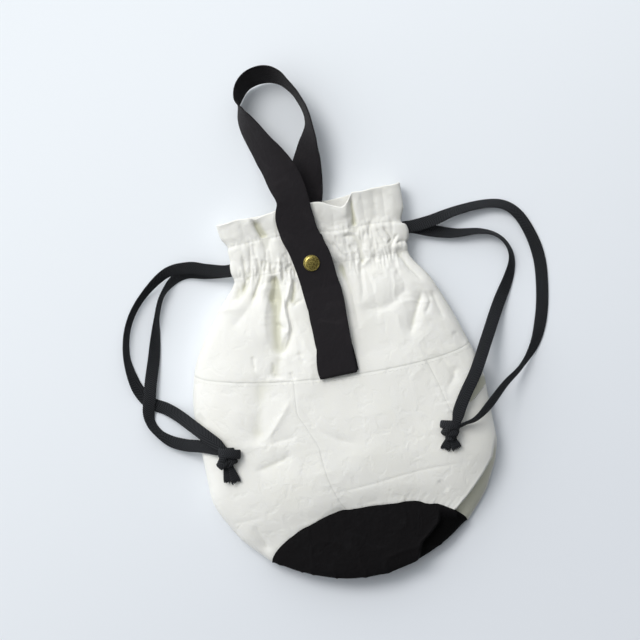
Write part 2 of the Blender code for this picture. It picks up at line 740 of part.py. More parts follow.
LEFT_OUTER = [
    (-88, 130.5, 11.0, 8),
    (-102, 134.5, 10.4, 20),
    (-122, 133.5, 9.4, 42),
    (-146, 118.5, 5.2, 62),
    (-161.5, 98.5, 4.8, 65),
    (-168.5, 74.5, 4.8, 62),
    (-167, 52.5, 3.4, 35),
    (-160, 34, 1.0, 4),
    (-149, 18, 1.0, 2),
    (-137, 7.5, 7.5, 0),
    (-126, -1, 17.2, 0),
    (-115, -10.5, 25.8, 0),
    (-104.5, -22.3, 30.6, 0),
]
LEFT_INNER = [
    (-88, 127.0, 6.0, 8),
    (-104, 130.0, 3.4, 12),
    (-121, 123.0, 3.2, 22),
    (-134, 110.0, 5.2, 72),
    (-143.5, 90.5, 4.6, 55),
    (-150.8, 66.4, 3.4, 22),
    (-157, 46.4, 4.6, 6),
    (-160.5, 31, 5.2, 6),
    (-158, 17, 7.2, 14),
    (-148, 6.5, 9.4, 6),
    (-135, -3, 17.2, 0),
    (-122, -12, 26.8, 0),
    (-107.7, -23.6, 33.4, 0),
]
RIGHT_OUTER = [
    (106, 131.5, 11.5, 12),
    (127.5, 135.5, 7.4, 40),
    (152, 136.5, 4.8, 45),
    (169, 132.5, 4.6, 40),
    (180.0, 121.4, 4.0, 30),
    (186.2, 102, 2.4, 18),
    (188.6, 81.7, 1.0, 3),
    (186.5, 59, 1.0, 3),
    (180.8, 34.6, 2.6, 25),
    (170.5, 12.5, 5.0, 55),
    (155, -4.5, 8.5, 66),
    (138, -17.0, 17.5, 62),
    (121, -28.5, 28.5, 48),
    (107, -35.5, 35.0, 32),
    (94.2, -39.8, 37.7, 20),
]
RIGHT_INNER = [
    (105, 123.5, 6.0, 10),
    (124, 117.5, 4.6, 40),
    (144.5, 114.8, 4.8, 62),
    (157.5, 109.2, 5.0, 72),
    (165, 99.5, 5.0, 70),
    (166.8, 87.1, 4.6, 60),
    (161, 72, 3.6, 35),
    (147, 50.5, 5.0, 5),
    (132, 26, 17.0, 0),
    (116, 2.0, 28.5, 0),
    (104.5, -15.0, 33.0, 0),
    (91.0, -35.9, 34.6, 0),
]
LEFT_KNOT = (-100.5 * MM, SEAM_Y - 63.5 * MM)
RIGHT_KNOT = (86.5 * MM, SEAM_Y - 78.5 * MM)
KNOT_SIZE = (17 * MM, 14 * MM, 11.5 * MM)
KNOT_LUMPS = 0.03
END_WIDTH = 7.4 * MM
END_STARTS = ((-4 * MM, 0.42), (4.2 * MM, 0.455))  # from the knot's middle: across, share of its length
LEFT_END_RUNS = [(-3, -9.5, -1.6), (3, -7.5, -0.4)]
RIGHT_END_RUNS = [(-2.5, -9.5, -2.0), (3.5, -6.5, -2.2)]
TAPE_SPACING = 7 * MM
FIRST_STEP = 6 * MM  # from the side seam to where a strand starts to turn


def tape_inside(y_side, exit_side):
    """The part of a drawstring inside the channel: out along the front, round the far side and back."""
    width = eased(HALF_WIDTHS, y_side)
    turn = math.asin(1 - TAPE_TURN / width)
    far = -exit_side
    points = []
    for step in range(11):
        angle = share(turn * exit_side, turn * far, step / 10)
        points.append(ring(angle, y_side) - outward(angle, y_side) * TAPE_INSET)
    back = [ring(math.pi - a, y_side) for a in (turn * far, turn * exit_side)]
    end = points[-1]
    start = back[0] + Vector((0, 0, TAPE_INSET))
    centre, radius = (end + start) / 2, (end - start).length / 2
    for part in (0.25, 0.5, 0.75):
        swing = math.pi * part
        side = Vector((far * math.sin(swing) * radius, 0, math.cos(swing) * radius))
        points.append(centre + side)
    for step in range(11):
        angle = math.pi - share(turn * far, turn * exit_side, step / 10)
        points.append(ring(angle, y_side) + Vector((0, 0, TAPE_INSET)))
    return points


def off_the_floor(point, lean):
    """The point, raised if a tape that leans there would go below the surface."""
    turned_up = abs(math.sin(math.radians(lean)))
    least = TAPE_WIDTH / 2 * turned_up + TAPE_THICKNESS / 2 + CLEAR / 2
    return Vector((point.x, point.y, max(point.z, least)))


def drawstring(side_name, y_side, exit_side, outer, inner, look, parent):
    """One drawstring as three pieces of one route: two free strands, and the part in the channel."""
    held = tape_inside(y_side, exit_side)
    edge = ring(exit_side * QUARTER, y_side)
    for tag, end, strand, step in (
        ("outer", held[0], outer, 1),
        ("inner", held[-1], inner, -1),
    ):
        height = edge.z + step * (TAPE_THICKNESS / 2 + CLEAR)
        stations = [
            (end.x + exit_side * 0.6 * MM, end.y, share(end.z, height, 0.07), 0),
            (share(end.x, edge.x, 0.55), end.y, share(end.z, height, 0.75), 0),
            (edge.x + exit_side * FIRST_STEP, end.y, height, 0),
        ]
        stations += [(x * MM, y * MM, z * MM, lean) for x, y, z, lean in strand]
        points = curve_through([p[:3] for p in stations], TAPE_SPACING)
        leans = lean_along(stations, points)
        points = [off_the_floor(p, lean) for p, lean in zip(points, leans)]
        name = f"drawstring_{side_name}_{tag}_strand"
        band(name, points, leaned(points, leans), TAPE_WIDTH, TAPE_THICKNESS, look, parent)
    across = [Vector((0, 1, 0))] * len(held)
    name = f"drawstring_{side_name}_in_channel"
    band(name, held, across, HELD_TAPE_WIDTH, TAPE_THICKNESS, look, parent)


def knot_height(place):
    """The height of a knot's middle when the knot lies on the front."""
    half = [size / 2 for size in KNOT_SIZE]
    highest = 0.0
    for i in range(-3, 4):
        for j in range(-3, 4):
            across, along = i / 3.5, j / 3.5
            if across**2 + along**2 < 1:
                surface = front_height(place[0] + across * half[0], place[1] + along * half[1])
                depth = half[2] * math.sqrt(1 - across**2 - along**2)
                highest = max(highest, surface + depth)
    return highest + CLEAR


def knot(side_name, place, runs, look, parent):
    """Both ends of a drawstring tied together, with the short ends beyond the knot."""
    centre = Vector((*place, knot_height(place)))
    build = bmesh.new()
    bmesh.ops.create_uvsphere(build, u_segments=14, v_segments=9, radius=0.5)
    for vert in build.verts:
        turn = math.atan2(vert.co.y, vert.co.x)
        lump = 1 - KNOT_LUMPS * (1 + math.cos(3 * turn + 5 * vert.co.z))
        vert.co = centre + Vector([c * size * lump for c, size in zip(vert.co, KNOT_SIZE)])
    new_object(f"drawstring_{side_name}_knot", build, look, parent)
    for number, ((across, depth), run) in enumerate(zip(END_STARTS, runs), 1):
        start = centre + Vector((across, -KNOT_SIZE[1] * depth - CLEAR, 0))
        points = [start + Vector(run) * MM * part for part in (0, 0.5, 1)]
        name = f"drawstring_{side_name}_end_{number}"
        sides = [Vector((1, 0, 0.2))] * len(points)
        band(name, points, sides, END_WIDTH, TAPE_THICKNESS, look, parent)


def hole_cutter(name, exit_side, y_side, look, parent):
    """The gap in the side seam that a drawstring comes out of."""
    edge = ring(exit_side * QUARTER, y_side)
    build = bmesh.new()
    bmesh.ops.create_cube(build, size=1)
    size = (2 * HOLE_DEPTH, HOLE_LENGTH, HOLE_HEIGHT)
    for vert in build.verts:
        vert.co = Vector([c * s for c, s in zip(vert.co, size)]) + edge
    cutter = new_object(name, build, look, parent)
    hide_helper(cutter)
    return cutter


def main():
    for old in list(bpy.data.objects):
        bpy.data.objects.remove(old)
    pouch = bpy.data.objects.new("pouch", None)
    bpy.context.scene.collection.objects.link(pouch)
    white = material("white_cloth", WHITE, 0.85)
    black = material("black_cloth", BLACK, 0.8)
    braid = material("black_braid", CORD_BLACK, 0.9)
    brass = material("brass", BRASS, 0.3, 1.0)

    holes = [
        hole_cutter("left_hole_cutter", -1, LEFT_Y, white, pouch),
        hole_cutter("right_hole_cutter", 1, RIGHT_Y, white, pouch),
    ]
    for name, centre in (("upper_front_panel", 0.0), ("upper_back_panel", math.pi)):
        panel = upper_panel(name, centre, white, pouch)
        for hole in holes:
            cut(panel, hole)

    front_left, front_right = math.asin(FRONT_SEAM_LEFT), math.asin(FRONT_SEAM_RIGHT)
    back_right = math.pi - math.asin(BACK_SEAM_RIGHT)
    back_left = math.pi - math.asin(BACK_SEAM_LEFT)
    lower_panel("lower_front_panel", front_left, front_right, 12, white, pouch)
    lower_panel("lower_right_panel", front_right, back_right, 18, white, pouch)
    lower_panel("lower_back_panel", back_right, back_left, 10, white, pouch)
    lower_panel("lower_left_panel", back_left, front_left + 2 * math.pi, 18, white, pouch)
    base_panel(black, pouch)

    strap(black, pouch)
    snap(brass, pouch)
    drawstring("left", LEFT_Y, -1, LEFT_OUTER, LEFT_INNER, braid, pouch)
    drawstring("right", RIGHT_Y, 1, RIGHT_OUTER, RIGHT_INNER, braid, pouch)
    knot("left", LEFT_KNOT, LEFT_END_RUNS, braid, pouch)
    knot("right", RIGHT_KNOT, RIGHT_END_RUNS, braid, pouch)


main()
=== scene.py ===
"""The looks of a kinchaku drawstring pouch: its cloth, strap, snap and drawstrings, and their finishes.

Metres, in the frame of the solids: +Z up from the surface the pouch lies on, +Y towards its mouth,
and the origin under the middle of its body.
"""

import itertools
import math

import bmesh
import bpy
import numpy as np
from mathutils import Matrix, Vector


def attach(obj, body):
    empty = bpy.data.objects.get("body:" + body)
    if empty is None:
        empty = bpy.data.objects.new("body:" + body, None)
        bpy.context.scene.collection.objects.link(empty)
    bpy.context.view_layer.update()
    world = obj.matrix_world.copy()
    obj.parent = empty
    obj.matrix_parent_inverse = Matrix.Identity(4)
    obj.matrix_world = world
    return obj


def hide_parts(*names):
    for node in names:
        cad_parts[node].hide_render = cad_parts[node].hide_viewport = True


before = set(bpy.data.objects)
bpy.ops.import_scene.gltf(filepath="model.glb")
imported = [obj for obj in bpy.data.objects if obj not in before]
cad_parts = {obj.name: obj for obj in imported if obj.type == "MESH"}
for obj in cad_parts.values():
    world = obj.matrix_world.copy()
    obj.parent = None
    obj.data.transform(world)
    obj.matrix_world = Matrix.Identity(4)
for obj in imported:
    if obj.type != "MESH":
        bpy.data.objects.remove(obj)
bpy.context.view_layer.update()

MM = 0.001
BODY = "root"
QUARTER = math.pi / 2


# Sizes that the construction also has

CLOTH = 0.8 * MM
CLEAR = 0.3 * MM
RIM_Y = -122 * MM
LOWER_LENGTH = 158 * MM
UPPER_LENGTH = 79 * MM
CHANNEL_LENGTH = 26 * MM
FRILL_LENGTH = 25 * MM
SEAM_Y = RIM_Y + LOWER_LENGTH
CHANNEL_Y = SEAM_Y + UPPER_LENGTH
FRILL_Y = CHANNEL_Y + CHANNEL_LENGTH
MOUTH_Y = FRILL_Y + FRILL_LENGTH

BASE_HALF_WIDTH = 84 * MM
BODY_HALF_WIDTH = 123 * MM
NECK_HALF_WIDTH = 74 * MM
MOUTH_HALF_WIDTH = 79.5 * MM
NECK_SHIFT = 8 * MM

RIM_HEIGHT = 28 * MM
BODY_HEIGHT = 36 * MM
NECK_HEIGHT = 22.5 * MM
MOUTH_HEIGHT = 25 * MM
BODY_EDGE_HEIGHT = 9 * MM
NECK_EDGE_HEIGHT = 11 * MM

FRONT_RIM_RISE = 31 * MM
BACK_RIM_RISE = 27 * MM
SEAM_SAG = -16 * MM
SEAM_TILT = -10 * MM
CHANNEL_TILT = -3.5 * MM
MOUTH_TILT = 2 * MM

GATHER_DEPTH = 1.8 * MM
FRILL_DEPTH = 3.5 * MM
FACING_INSET = 1.9 * MM
CHANNEL_INSET = 5.3 * MM
CHANNEL_MARGIN = 2.9 * MM
CHANNEL_RIPPLE = 0.25

BACK_SEAM_LEFT = -0.75
BACK_SEAM_RIGHT = 0.25

FOLD_REACH = 57 * MM
FOLD_DROP = 1.3

STRAP_WIDTH = 30 * MM
STRAP_THICKNESS = 1.5 * MM
STRAP_X = 4 * MM
STRAP_END_Y = SEAM_Y - 15 * MM
STRAP_ANCHOR_Y = FRILL_Y - 4 * MM
STRAP_INNER_END_Y = FRILL_Y - 10 * MM
LOOP_REACH = 116.5 * MM
STRAP_FOLD_GAP = 1.2 * MM

SNAP_Y = FRILL_Y - 24 * MM
SNAP_X = 0.5 * MM
SNAP_RADIUS = 6.8 * MM
SNAP_FLANGE = 0.5 * MM
SOCKET_HEIGHT = 1.6 * MM
STUD_FLANGE = 0.6 * MM

TAPE_WIDTH = 10.5 * MM
HELD_TAPE_WIDTH = 9.3 * MM
TAPE_THICKNESS = 1.4 * MM
TAPE_TURN = 13 * MM
FIRST_STEP = 6 * MM

# Sizes of the finer surface made here

FINE_CELL = 0.75 * MM  # the gathered front's cloth is a grid of about this size
CELL = 1.25 * MM
BACK_CELL = 2.8 * MM
THIN = 0.45 * MM  # the cloth itself, without a turned seam allowance
RIB_PITCH = 1.7 * MM  # of the drawstrings' braid
CHEVRON = 0.8  # how far its ribs lean
TAPE_STEP = 0.7 * MM
STRAP_STEP = 1.4 * MM
FINE_ANGLES = 1200


# Curves and noise

def share(start, end, part):
    return start + (end - start) * part


def smooth(low, high, at):
    """0 below low, 1 above high, and eased between them."""
    t = np.clip((at - low) / (high - low), 0, 1)
    return t * t * (3 - 2 * t)


def unit(vectors):
    return vectors / np.maximum(np.linalg.norm(vectors, axis=-1, keepdims=True), 1e-12)


def eased(stations, at):
    """A smooth curve through (place, value) stations that never overshoots them."""
    xs, ys = (np.array(column, float) for column in zip(*stations))
    spans = np.diff(xs)
    slopes = np.diff(ys) / spans
    before, after = slopes[:-1], slopes[1:]
    turning = before * after <= 0
    inner = np.where(turning, 0, 2 * before * after / np.where(turning, 1, before + after))
    joined = np.concatenate([slopes[:1], inner, slopes[-1:]])
    index = np.clip(np.searchsorted(xs, at) - 1, 0, len(spans) - 1)
    t = np.clip((at - xs[index]) / spans[index], 0, 1)
    return (
        ys[index] * (1 + 2 * t) * (1 - t) ** 2
        + joined[index] * spans[index] * t * (1 - t) ** 2
        + ys[index + 1] * t * t * (3 - 2 * t)
        - joined[index + 1] * spans[index] * t * t * (1 - t)
    )


HASH_FACTORS = (73856093, 19349663, 83492791)
HASH_SEED = 2654435761
HASH_MIX = 1274126177
HASH_MASK = 0x7FFFFFFF
VALUE_MASK = 0xFFFFF
HALF_VALUE = 0x7FFFF


def lattice(cells, seed):
    """A repeatable value from -1 to 1 for each whole-numbered cell."""
    mixed = seed * HASH_SEED
    for axis, factor in enumerate(HASH_FACTORS):
        mixed = mixed ^ (cells[..., axis] * factor)
    mixed = mixed & HASH_MASK
    mixed = (mixed ^ (mixed >> 13)) * HASH_MIX & HASH_MASK
    mixed = (mixed ^ (mixed >> 16)) & VALUE_MASK
    return mixed / HALF_VALUE - 1


def noise(points, cell, seed):
    """Smooth noise from -1 to 1 at points, with its bumps about a cell apart."""
    at = np.asarray(points) / cell
    low = np.floor(at).astype(np.int64)
    part = at - low
    part = part * part * part * (part * (part * 6 - 15) + 10)
    total = 0
    for corner in itertools.product((0, 1), repeat=3):
        weight = np.prod(np.where(np.array(corner) == 1, part, 1 - part), axis=-1)
        total = total + weight * lattice(low + np.array(corner), seed)
    return total


def layered(points, layers):
    """Several noises added up, each given by its strength, cell and seed."""
    return sum(strength * noise(points, cell, seed) for strength, cell, seed in layers)


def ridged(points, cell, seed, sharpness):
    """Noise folded over, so that it has sharp creases in place of bumps."""
    return 1 - np.abs(noise(points, cell, seed)) * sharpness


def warped(points, cell, reach, seeds):
    """Points moved about by up to reach, so that what is laid over them gets uneven."""
    return points + reach * np.stack([noise(points, cell, seed) for seed in seeds], axis=-1)


def on_axis(values):
    """Points at values along one axis."""
    return np.stack([values, 0 * values, 0 * values], axis=-1)


def curve_through(points, spacing):
    """Rows of numbers on a smooth curve through points, about spacing apart in their first three."""
    placed = [np.array(p, float) for p in points]
    found = []
    for index in range(len(placed) - 1):
        p1, p2 = placed[index], placed[index + 1]
        p0 = placed[index - 1] if index else p1 * 2 - p2
        p3 = placed[index + 2] if index + 2 < len(placed) else p2 * 2 - p1
        square, cube = p0 * 2 - p1 * 5 + p2 * 4 - p3, p1 * 3 - p0 - p2 * 3 + p3
        steps = max(1, round(np.linalg.norm(p2[:3] - p1[:3]) / spacing))
        for t in np.arange(steps) / steps:
            found.append((p1 * 2 + (p2 - p0) * t + square * t * t + cube * t**3) / 2)
    found.append(placed[-1])
    return np.array(found)


def lengths_along(points):
    steps = np.linalg.norm(np.diff(points, axis=0), axis=1)
    return np.concatenate([[0], np.cumsum(steps)])


def directions(points):
    """The way a line of points runs, at each of them."""
    ends = np.concatenate([points[:1], points, points[-1:]])
    return unit(ends[2:] - ends[:-2])


# The walls' loft, as the construction has it

LOWER_CORNER_Y = RIM_Y + 0.17 * LOWER_LENGTH
WIDEST_Y = RIM_Y + 0.42 * LOWER_LENGTH
STILL_WIDE_Y = RIM_Y + 0.78 * LOWER_LENGTH
SHOULDER_Y = SEAM_Y + 0.68 * UPPER_LENGTH

HALF_WIDTHS = [
    (RIM_Y, BASE_HALF_WIDTH),
    (LOWER_CORNER_Y, share(BASE_HALF_WIDTH, BODY_HALF_WIDTH, 0.6)),
    (WIDEST_Y, BODY_HALF_WIDTH),
    (STILL_WIDE_Y, BODY_HALF_WIDTH),
    (SEAM_Y, share(BODY_HALF_WIDTH, NECK_HALF_WIDTH, 0.14)),
    (SHOULDER_Y, share(BODY_HALF_WIDTH, NECK_HALF_WIDTH, 0.67)),
    (CHANNEL_Y, NECK_HALF_WIDTH),
    (FRILL_Y, NECK_HALF_WIDTH),
    (share(FRILL_Y, MOUTH_Y, 0.4), share(NECK_HALF_WIDTH, MOUTH_HALF_WIDTH, 0.75)),
    (MOUTH_Y, MOUTH_HALF_WIDTH),
]
SHIFTS = [(RIM_Y, 0), (SEAM_Y, 0), (SHOULDER_Y, 0.8 * NECK_SHIFT), (CHANNEL_Y, NECK_SHIFT)]
FRONT_HEIGHTS = [
    (RIM_Y, RIM_HEIGHT),
    (LOWER_CORNER_Y, share(RIM_HEIGHT, BODY_HEIGHT, 0.6)),
    (WIDEST_Y, BODY_HEIGHT),
    (SEAM_Y, share(BODY_HEIGHT, NECK_HEIGHT, 0.15)),
    (SHOULDER_Y, share(BODY_HEIGHT, NECK_HEIGHT, 0.65)),
    (CHANNEL_Y, NECK_HEIGHT),
    (FRILL_Y, NECK_HEIGHT),
    (MOUTH_Y, MOUTH_HEIGHT),
]
EDGE_HEIGHTS = [(RIM_Y, BODY_EDGE_HEIGHT), (SEAM_Y, BODY_EDGE_HEIGHT), (CHANNEL_Y, NECK_EDGE_HEIGHT)]
CROWNS = [(RIM_Y, 0.6), (WIDEST_Y, 0.7), (SEAM_Y, 0.7), (CHANNEL_Y, 0.36)]
FRONT_RISES = [
    (RIM_Y, FRONT_RIM_RISE),
    (LOWER_CORNER_Y, 0.62 * FRONT_RIM_RISE),
    (WIDEST_Y, 0.2 * FRONT_RIM_RISE),
    (SEAM_Y, SEAM_SAG),
    (CHANNEL_Y, 0),
]
BACK_RISES = [(RIM_Y, BACK_RIM_RISE), (WIDEST_Y, 0.2 * BACK_RIM_RISE), (SEAM_Y, 0)]
TILTS = [
    (WIDEST_Y, 0),
    (SEAM_Y, SEAM_TILT),
    (CHANNEL_Y, CHANNEL_TILT),
    (FRILL_Y, CHANNEL_TILT),
    (MOUTH_Y, MOUTH_TILT),
]
GATHER_STRENGTHS = [(SEAM_Y, 0), (SHOULDER_Y, 0.3), (CHANNEL_Y, 1), (FRILL_Y, 1), (MOUTH_Y, 0.1)]
FRILL_STRENGTHS = [(FRILL_Y, 0), (MOUTH_Y, 1)]
BACK_FLAT = 0.5
RIM_CURVE = 1.2


def back_height(y):
    gathers = GATHER_DEPTH * eased(GATHER_STRENGTHS, y)
    return CLOTH / 2 + gathers + FRILL_DEPTH * eased(FRILL_STRENGTHS, y)


def ring(angle, y):
    """A point of the walls without folds. The angle is 0 on the front, a quarter turn at the right edge."""
    angle, y = np.broadcast_arrays(np.asarray(angle, float), np.asarray(y, float))
    facing, side = np.cos(angle), np.sin(angle)
    edge, crown = eased(EDGE_HEIGHTS, y), eased(CROWNS, y)
    upper = share(edge, eased(FRONT_HEIGHTS, y), np.maximum(facing, 0) ** crown)
    lower = share(edge, back_height(y), np.clip(-facing / BACK_FLAT, 0, 1) ** crown)
    rise = np.where(facing >= 0, eased(FRONT_RISES, y), eased(BACK_RISES, y))
    along = y + rise * np.abs(facing) ** RIM_CURVE + eased(TILTS, y) * side
    across = eased(SHIFTS, y) + eased(HALF_WIDTHS, y) * side
    return np.stack([across, along, np.where(facing >= 0, upper, lower)], axis=-1)


def outward(angle, y):
    step = 1e-4
    across = ring(angle + step, y) - ring(angle - step, y)
    upward = ring(angle, y + step) - ring(angle, y - step)
    return unit(np.cross(across, upward))


ROW_TRIES = 6
NEARLY_EDGE = 0.999


def front_height(x, y):
    """The height of the front's surface above a point of the floor, without folds."""
    row = y
    for _ in range(ROW_TRIES):
        side = (x - eased(SHIFTS, row)) / eased(HALF_WIDTHS, row)
        angle = np.arcsin(np.clip(side, -NEARLY_EDGE, NEARLY_EDGE))
        row = y - (ring(angle, row)[..., 1] - row)
    return ring(angle, row)[..., 2] + CLOTH / 2


def even_angles(start, end, cell, y):
    """Angles that cut the ring at y, from start to end, into lengths of about one cell."""
    fine = np.linspace(start, end, FINE_ANGLES)
    reached = lengths_along(ring(fine, y))
    count = max(4, round(reached[-1] / cell))
    return np.interp(np.linspace(0, reached[-1], count + 1), reached, fine)


def cloth_top(y):
    """The highest that the front's gathers reach at y."""
    waves = GATHER_DEPTH * eased(GATHER_STRENGTHS, y) + FRILL_DEPTH * eased(FRILL_STRENGTHS, y)
    return eased(FRONT_HEIGHTS, y) + waves + CLOTH / 2


# Folds of the front's cloth: depth, widths on the left and right of the way the line runs, strength
# at its start and end, all in millimetres, then the line's points in millimetres

BODY_FOLDS = [
    # from the gathers down the left of the strap
    (-4.0, 3.4, 7.0, 1.0, 0.5, [
        (-32.2, 103.7), (-34.0, 91.7), (-37.6, 78.1), (-39.5, 67.1), (-40.9, 55.9), (-42.2, 40.9)]),
    (1.5, 1.8, 6.0, 0.8, 0.5, [
        (-39.8, 101.5), (-44.1, 90.0), (-47.5, 80.2), (-48.9, 69.1), (-50.3, 57.9)]),
    (1.6, 1.2, 3.0, 0.8, 0.8, [
        (-27.5, 98.9), (-29.4, 89.7), (-28.8, 79.1), (-29.3, 68.7), (-33.8, 60.1)]),
    (-2.0, 3.4, 1.0, 0.9, 0.5, [
        (-22.4, 95.9), (-27.4, 85.5), (-27.2, 73.1), (-27.4, 65.5), (-32.1, 56.9), (-39.2, 47.0)]),
    (-1.1, 1.2, 1.2, 0.8, 0.8, [(-39.4, 74.2), (-34.4, 70.8), (-30.3, 65.1)]),
    (-0.8, 2.5, 1.0, 0.8, 0.8, [(-30.3, 65.1), (-36.6, 56.0), (-40.2, 48.1)]),
    (-1.6, 6.0, 5.0, 0.6, 0.9, [(-41.5, 46.5), (-46.1, 38.0), (-49.2, 28.1)]),
    (-0.9, 0.9, 0.9, 0.8, 0.8, [(-63.8, 51.3), (-64.3, 45.6), (-64.5, 39.0)]),
    (-0.8, 0.9, 0.9, 0.8, 0.8, [(-48.4, 43.2), (-48.7, 38.5), (-50.9, 33.3)]),
    (-0.9, 1.0, 1.0, 0.8, 0.8, [(-36.0, 32.0), (-34.9, 27.9), (-33.4, 23.8)]),
    (-0.7, 1.2, 1.2, 0.8, 0.8, [(-25.2, 46.9), (-24.5, 41.0), (-21.6, 36.6)]),
    (-1.3, 4.0, 6.0, 0.8, 0.6, [(-47.9, 108.0), (-55.2, 96.2), (-66.6, 85.2), (-77.9, 77.1)]),
    (-0.9, 3.0, 4.0, 0.8, 0.6, [(-61.4, 109.9), (-68.6, 102.8), (-75.6, 96.7)]),
    (-1.0, 1.0, 1.4, 0.8, 0.8, [(-22.2, 85.4), (-18.2, 88.3), (-12.4, 89.0)]),
    # from the gathers down the right of the strap
    (-2.0, 3.0, 3.0, 1.0, 0.6, [(22, 121.3), (25.4, 103.9), (28.4, 84.1), (27.7, 55)]),
    (-1.6, 7.0, 4.0, 0.6, 1.0, [(30.8, 72.9), (44.3, 69.3), (54.9, 68.5), (67.2, 75.9), (74.3, 81.5)]),
    (-1.4, 2.0, 1.6, 1.0, 0.2, [(70.6, 114.5), (83.3, 107), (92.8, 95.5)]),
    # crumples by the right edge of the upper body
    (-2.3, 3.0, 4.6, 1.0, 0.5, [(86.9, 76.5), (76.3, 57.2), (67.9, 40)]),
    (-1.4, 2.0, 3.0, 1.0, 0.4, [(94.4, 74.9), (96.5, 62.5), (99.3, 47.6)]),
    (-1.1, 1.5, 1.5, 0.7, 0.7, [(88.7, 76.1), (91.3, 66), (84.3, 55.5)]),
    (-0.7, 1.5, 1.5, 1.0, 0.5, [(104.2, 37), (107.8, 31.5), (113.7, 25.4)]),
    (-0.8, 2.0, 2.0, 1.0, 0.5, [(87.6, 20.3), (93.9, 10.6), (99.6, -7.3)]),
    (-0.8, 2.0, 2.0, 1.0, 0.5, [(100.7, 9.1), (97.6, 0.2), (89.5, -10)]),
    # the dent in the lower body's left half, and the creases under it
    (-2.4, 12.0, 9.0, 0.6, 0.9, [(-60, 36), (-66, 12), (-72, -8), (-75, -24)]),
    (1.0, 3.2, 3.2, 0.7, 1.0, [(-40, 9.5), (-55.8, -8.7), (-67.8, -20.4)]),
    (-1.3, 3.0, 4.0, 0.5, 0.5, [(-34.1, 3.4), (-27.6, -11.1), (-20.4, -22.1), (-8.1, -31.2), (7, -38.7)]),
    (-1.0, 3.0, 4.0, 1.0, 0.6, [(-81.8, -43.7), (-67.4, -40.8), (-54.7, -37.5), (-46.7, -35.6)]),
    (-0.8, 3.0, 3.0, 0.7, 0.7, [(-63.7, -23.7), (-53.9, -22.2), (-42, -22.3)]),
    # near the base
    (-0.9, 2.0, 2.0, 0.8, 0.8, [(65.8, -82.2), (70.5, -88), (71.8, -93)]),
    (-1.3, 2.0, 3.5, 0.4, 1.0, [(-91.8, -86.4), (-88.9, -97), (-84.9, -112.2)]),
    (-0.22, 0.7, 0.7, 1.0, 1.0, [(-24.5, -74.9), (13.9, -73.6), (57.4, -70.9), (100, -72.8)]),
    (-0.22, 0.7, 0.7, 1.0, 1.0, [(-112, -82.6), (-97.7, -82.8), (-83.3, -82)]),
]
FRILL_FOLDS = [
    (-4.6, 4.6, 1.3, 1.0, 0.8, [(-40.1, 166), (-37.2, 151.7), (-34.8, 142.4), (-34.4, 130.9)]),
    (1.4, 1.4, 5.0, 1.0, 0.3, [(-44.5, 166), (-41, 153.1), (-38.6, 144)]),
    (1.2, 4.0, 5.0, 1.0, 0.6, [(-23.1, 166), (-23.7, 147.7), (-23.7, 131)]),
    (-4.4, 1.5, 3.0, 1.0, 0.8, [(43.8, 168), (43.4, 152.5), (42.6, 141.9), (43.1, 131.1)]),
    (1.3, 2.0, 6.0, 1.0, 0.5, [(38.1, 168.2), (37.4, 156), (35.9, 142.2), (33.8, 131.9)]),
    (-1.4, 5.0, 4.0, 1.0, 0.5, [(63.2, 167), (61.7, 151), (60.2, 138.2)]),
    (0.9, 5.0, 4.0, 1.0, 0.5, [(79.2, 166), (77, 150.1), (75.5, 137.3)]),
    (-0.8, 5.0, 5.0, 1.0, 0.3, [(-60, 165), (-59, 152)]),
    (-1.0, 2.6, 2.2, 1.0, 0.5, [(-69, 164), (-67.5, 149), (-66, 140)]),
    (-0.9, 2.0, 2.4, 0.7, 1.0, [(-51, 164), (-50, 148), (-49.5, 138)]),
    (-0.8, 2.2, 3.2, 1.0, 0.7, [(53, 168), (52.4, 152), (51.6, 138)]),
    (-0.8, 1.8, 3.0, 0.8, 1.0, [(71, 168), (70, 152), (68.6, 138)]),
    (-1.0, 2.2, 2.2, 0.6, 1.0, [(27, 164), (26, 150), (24.6, 138)]),
]
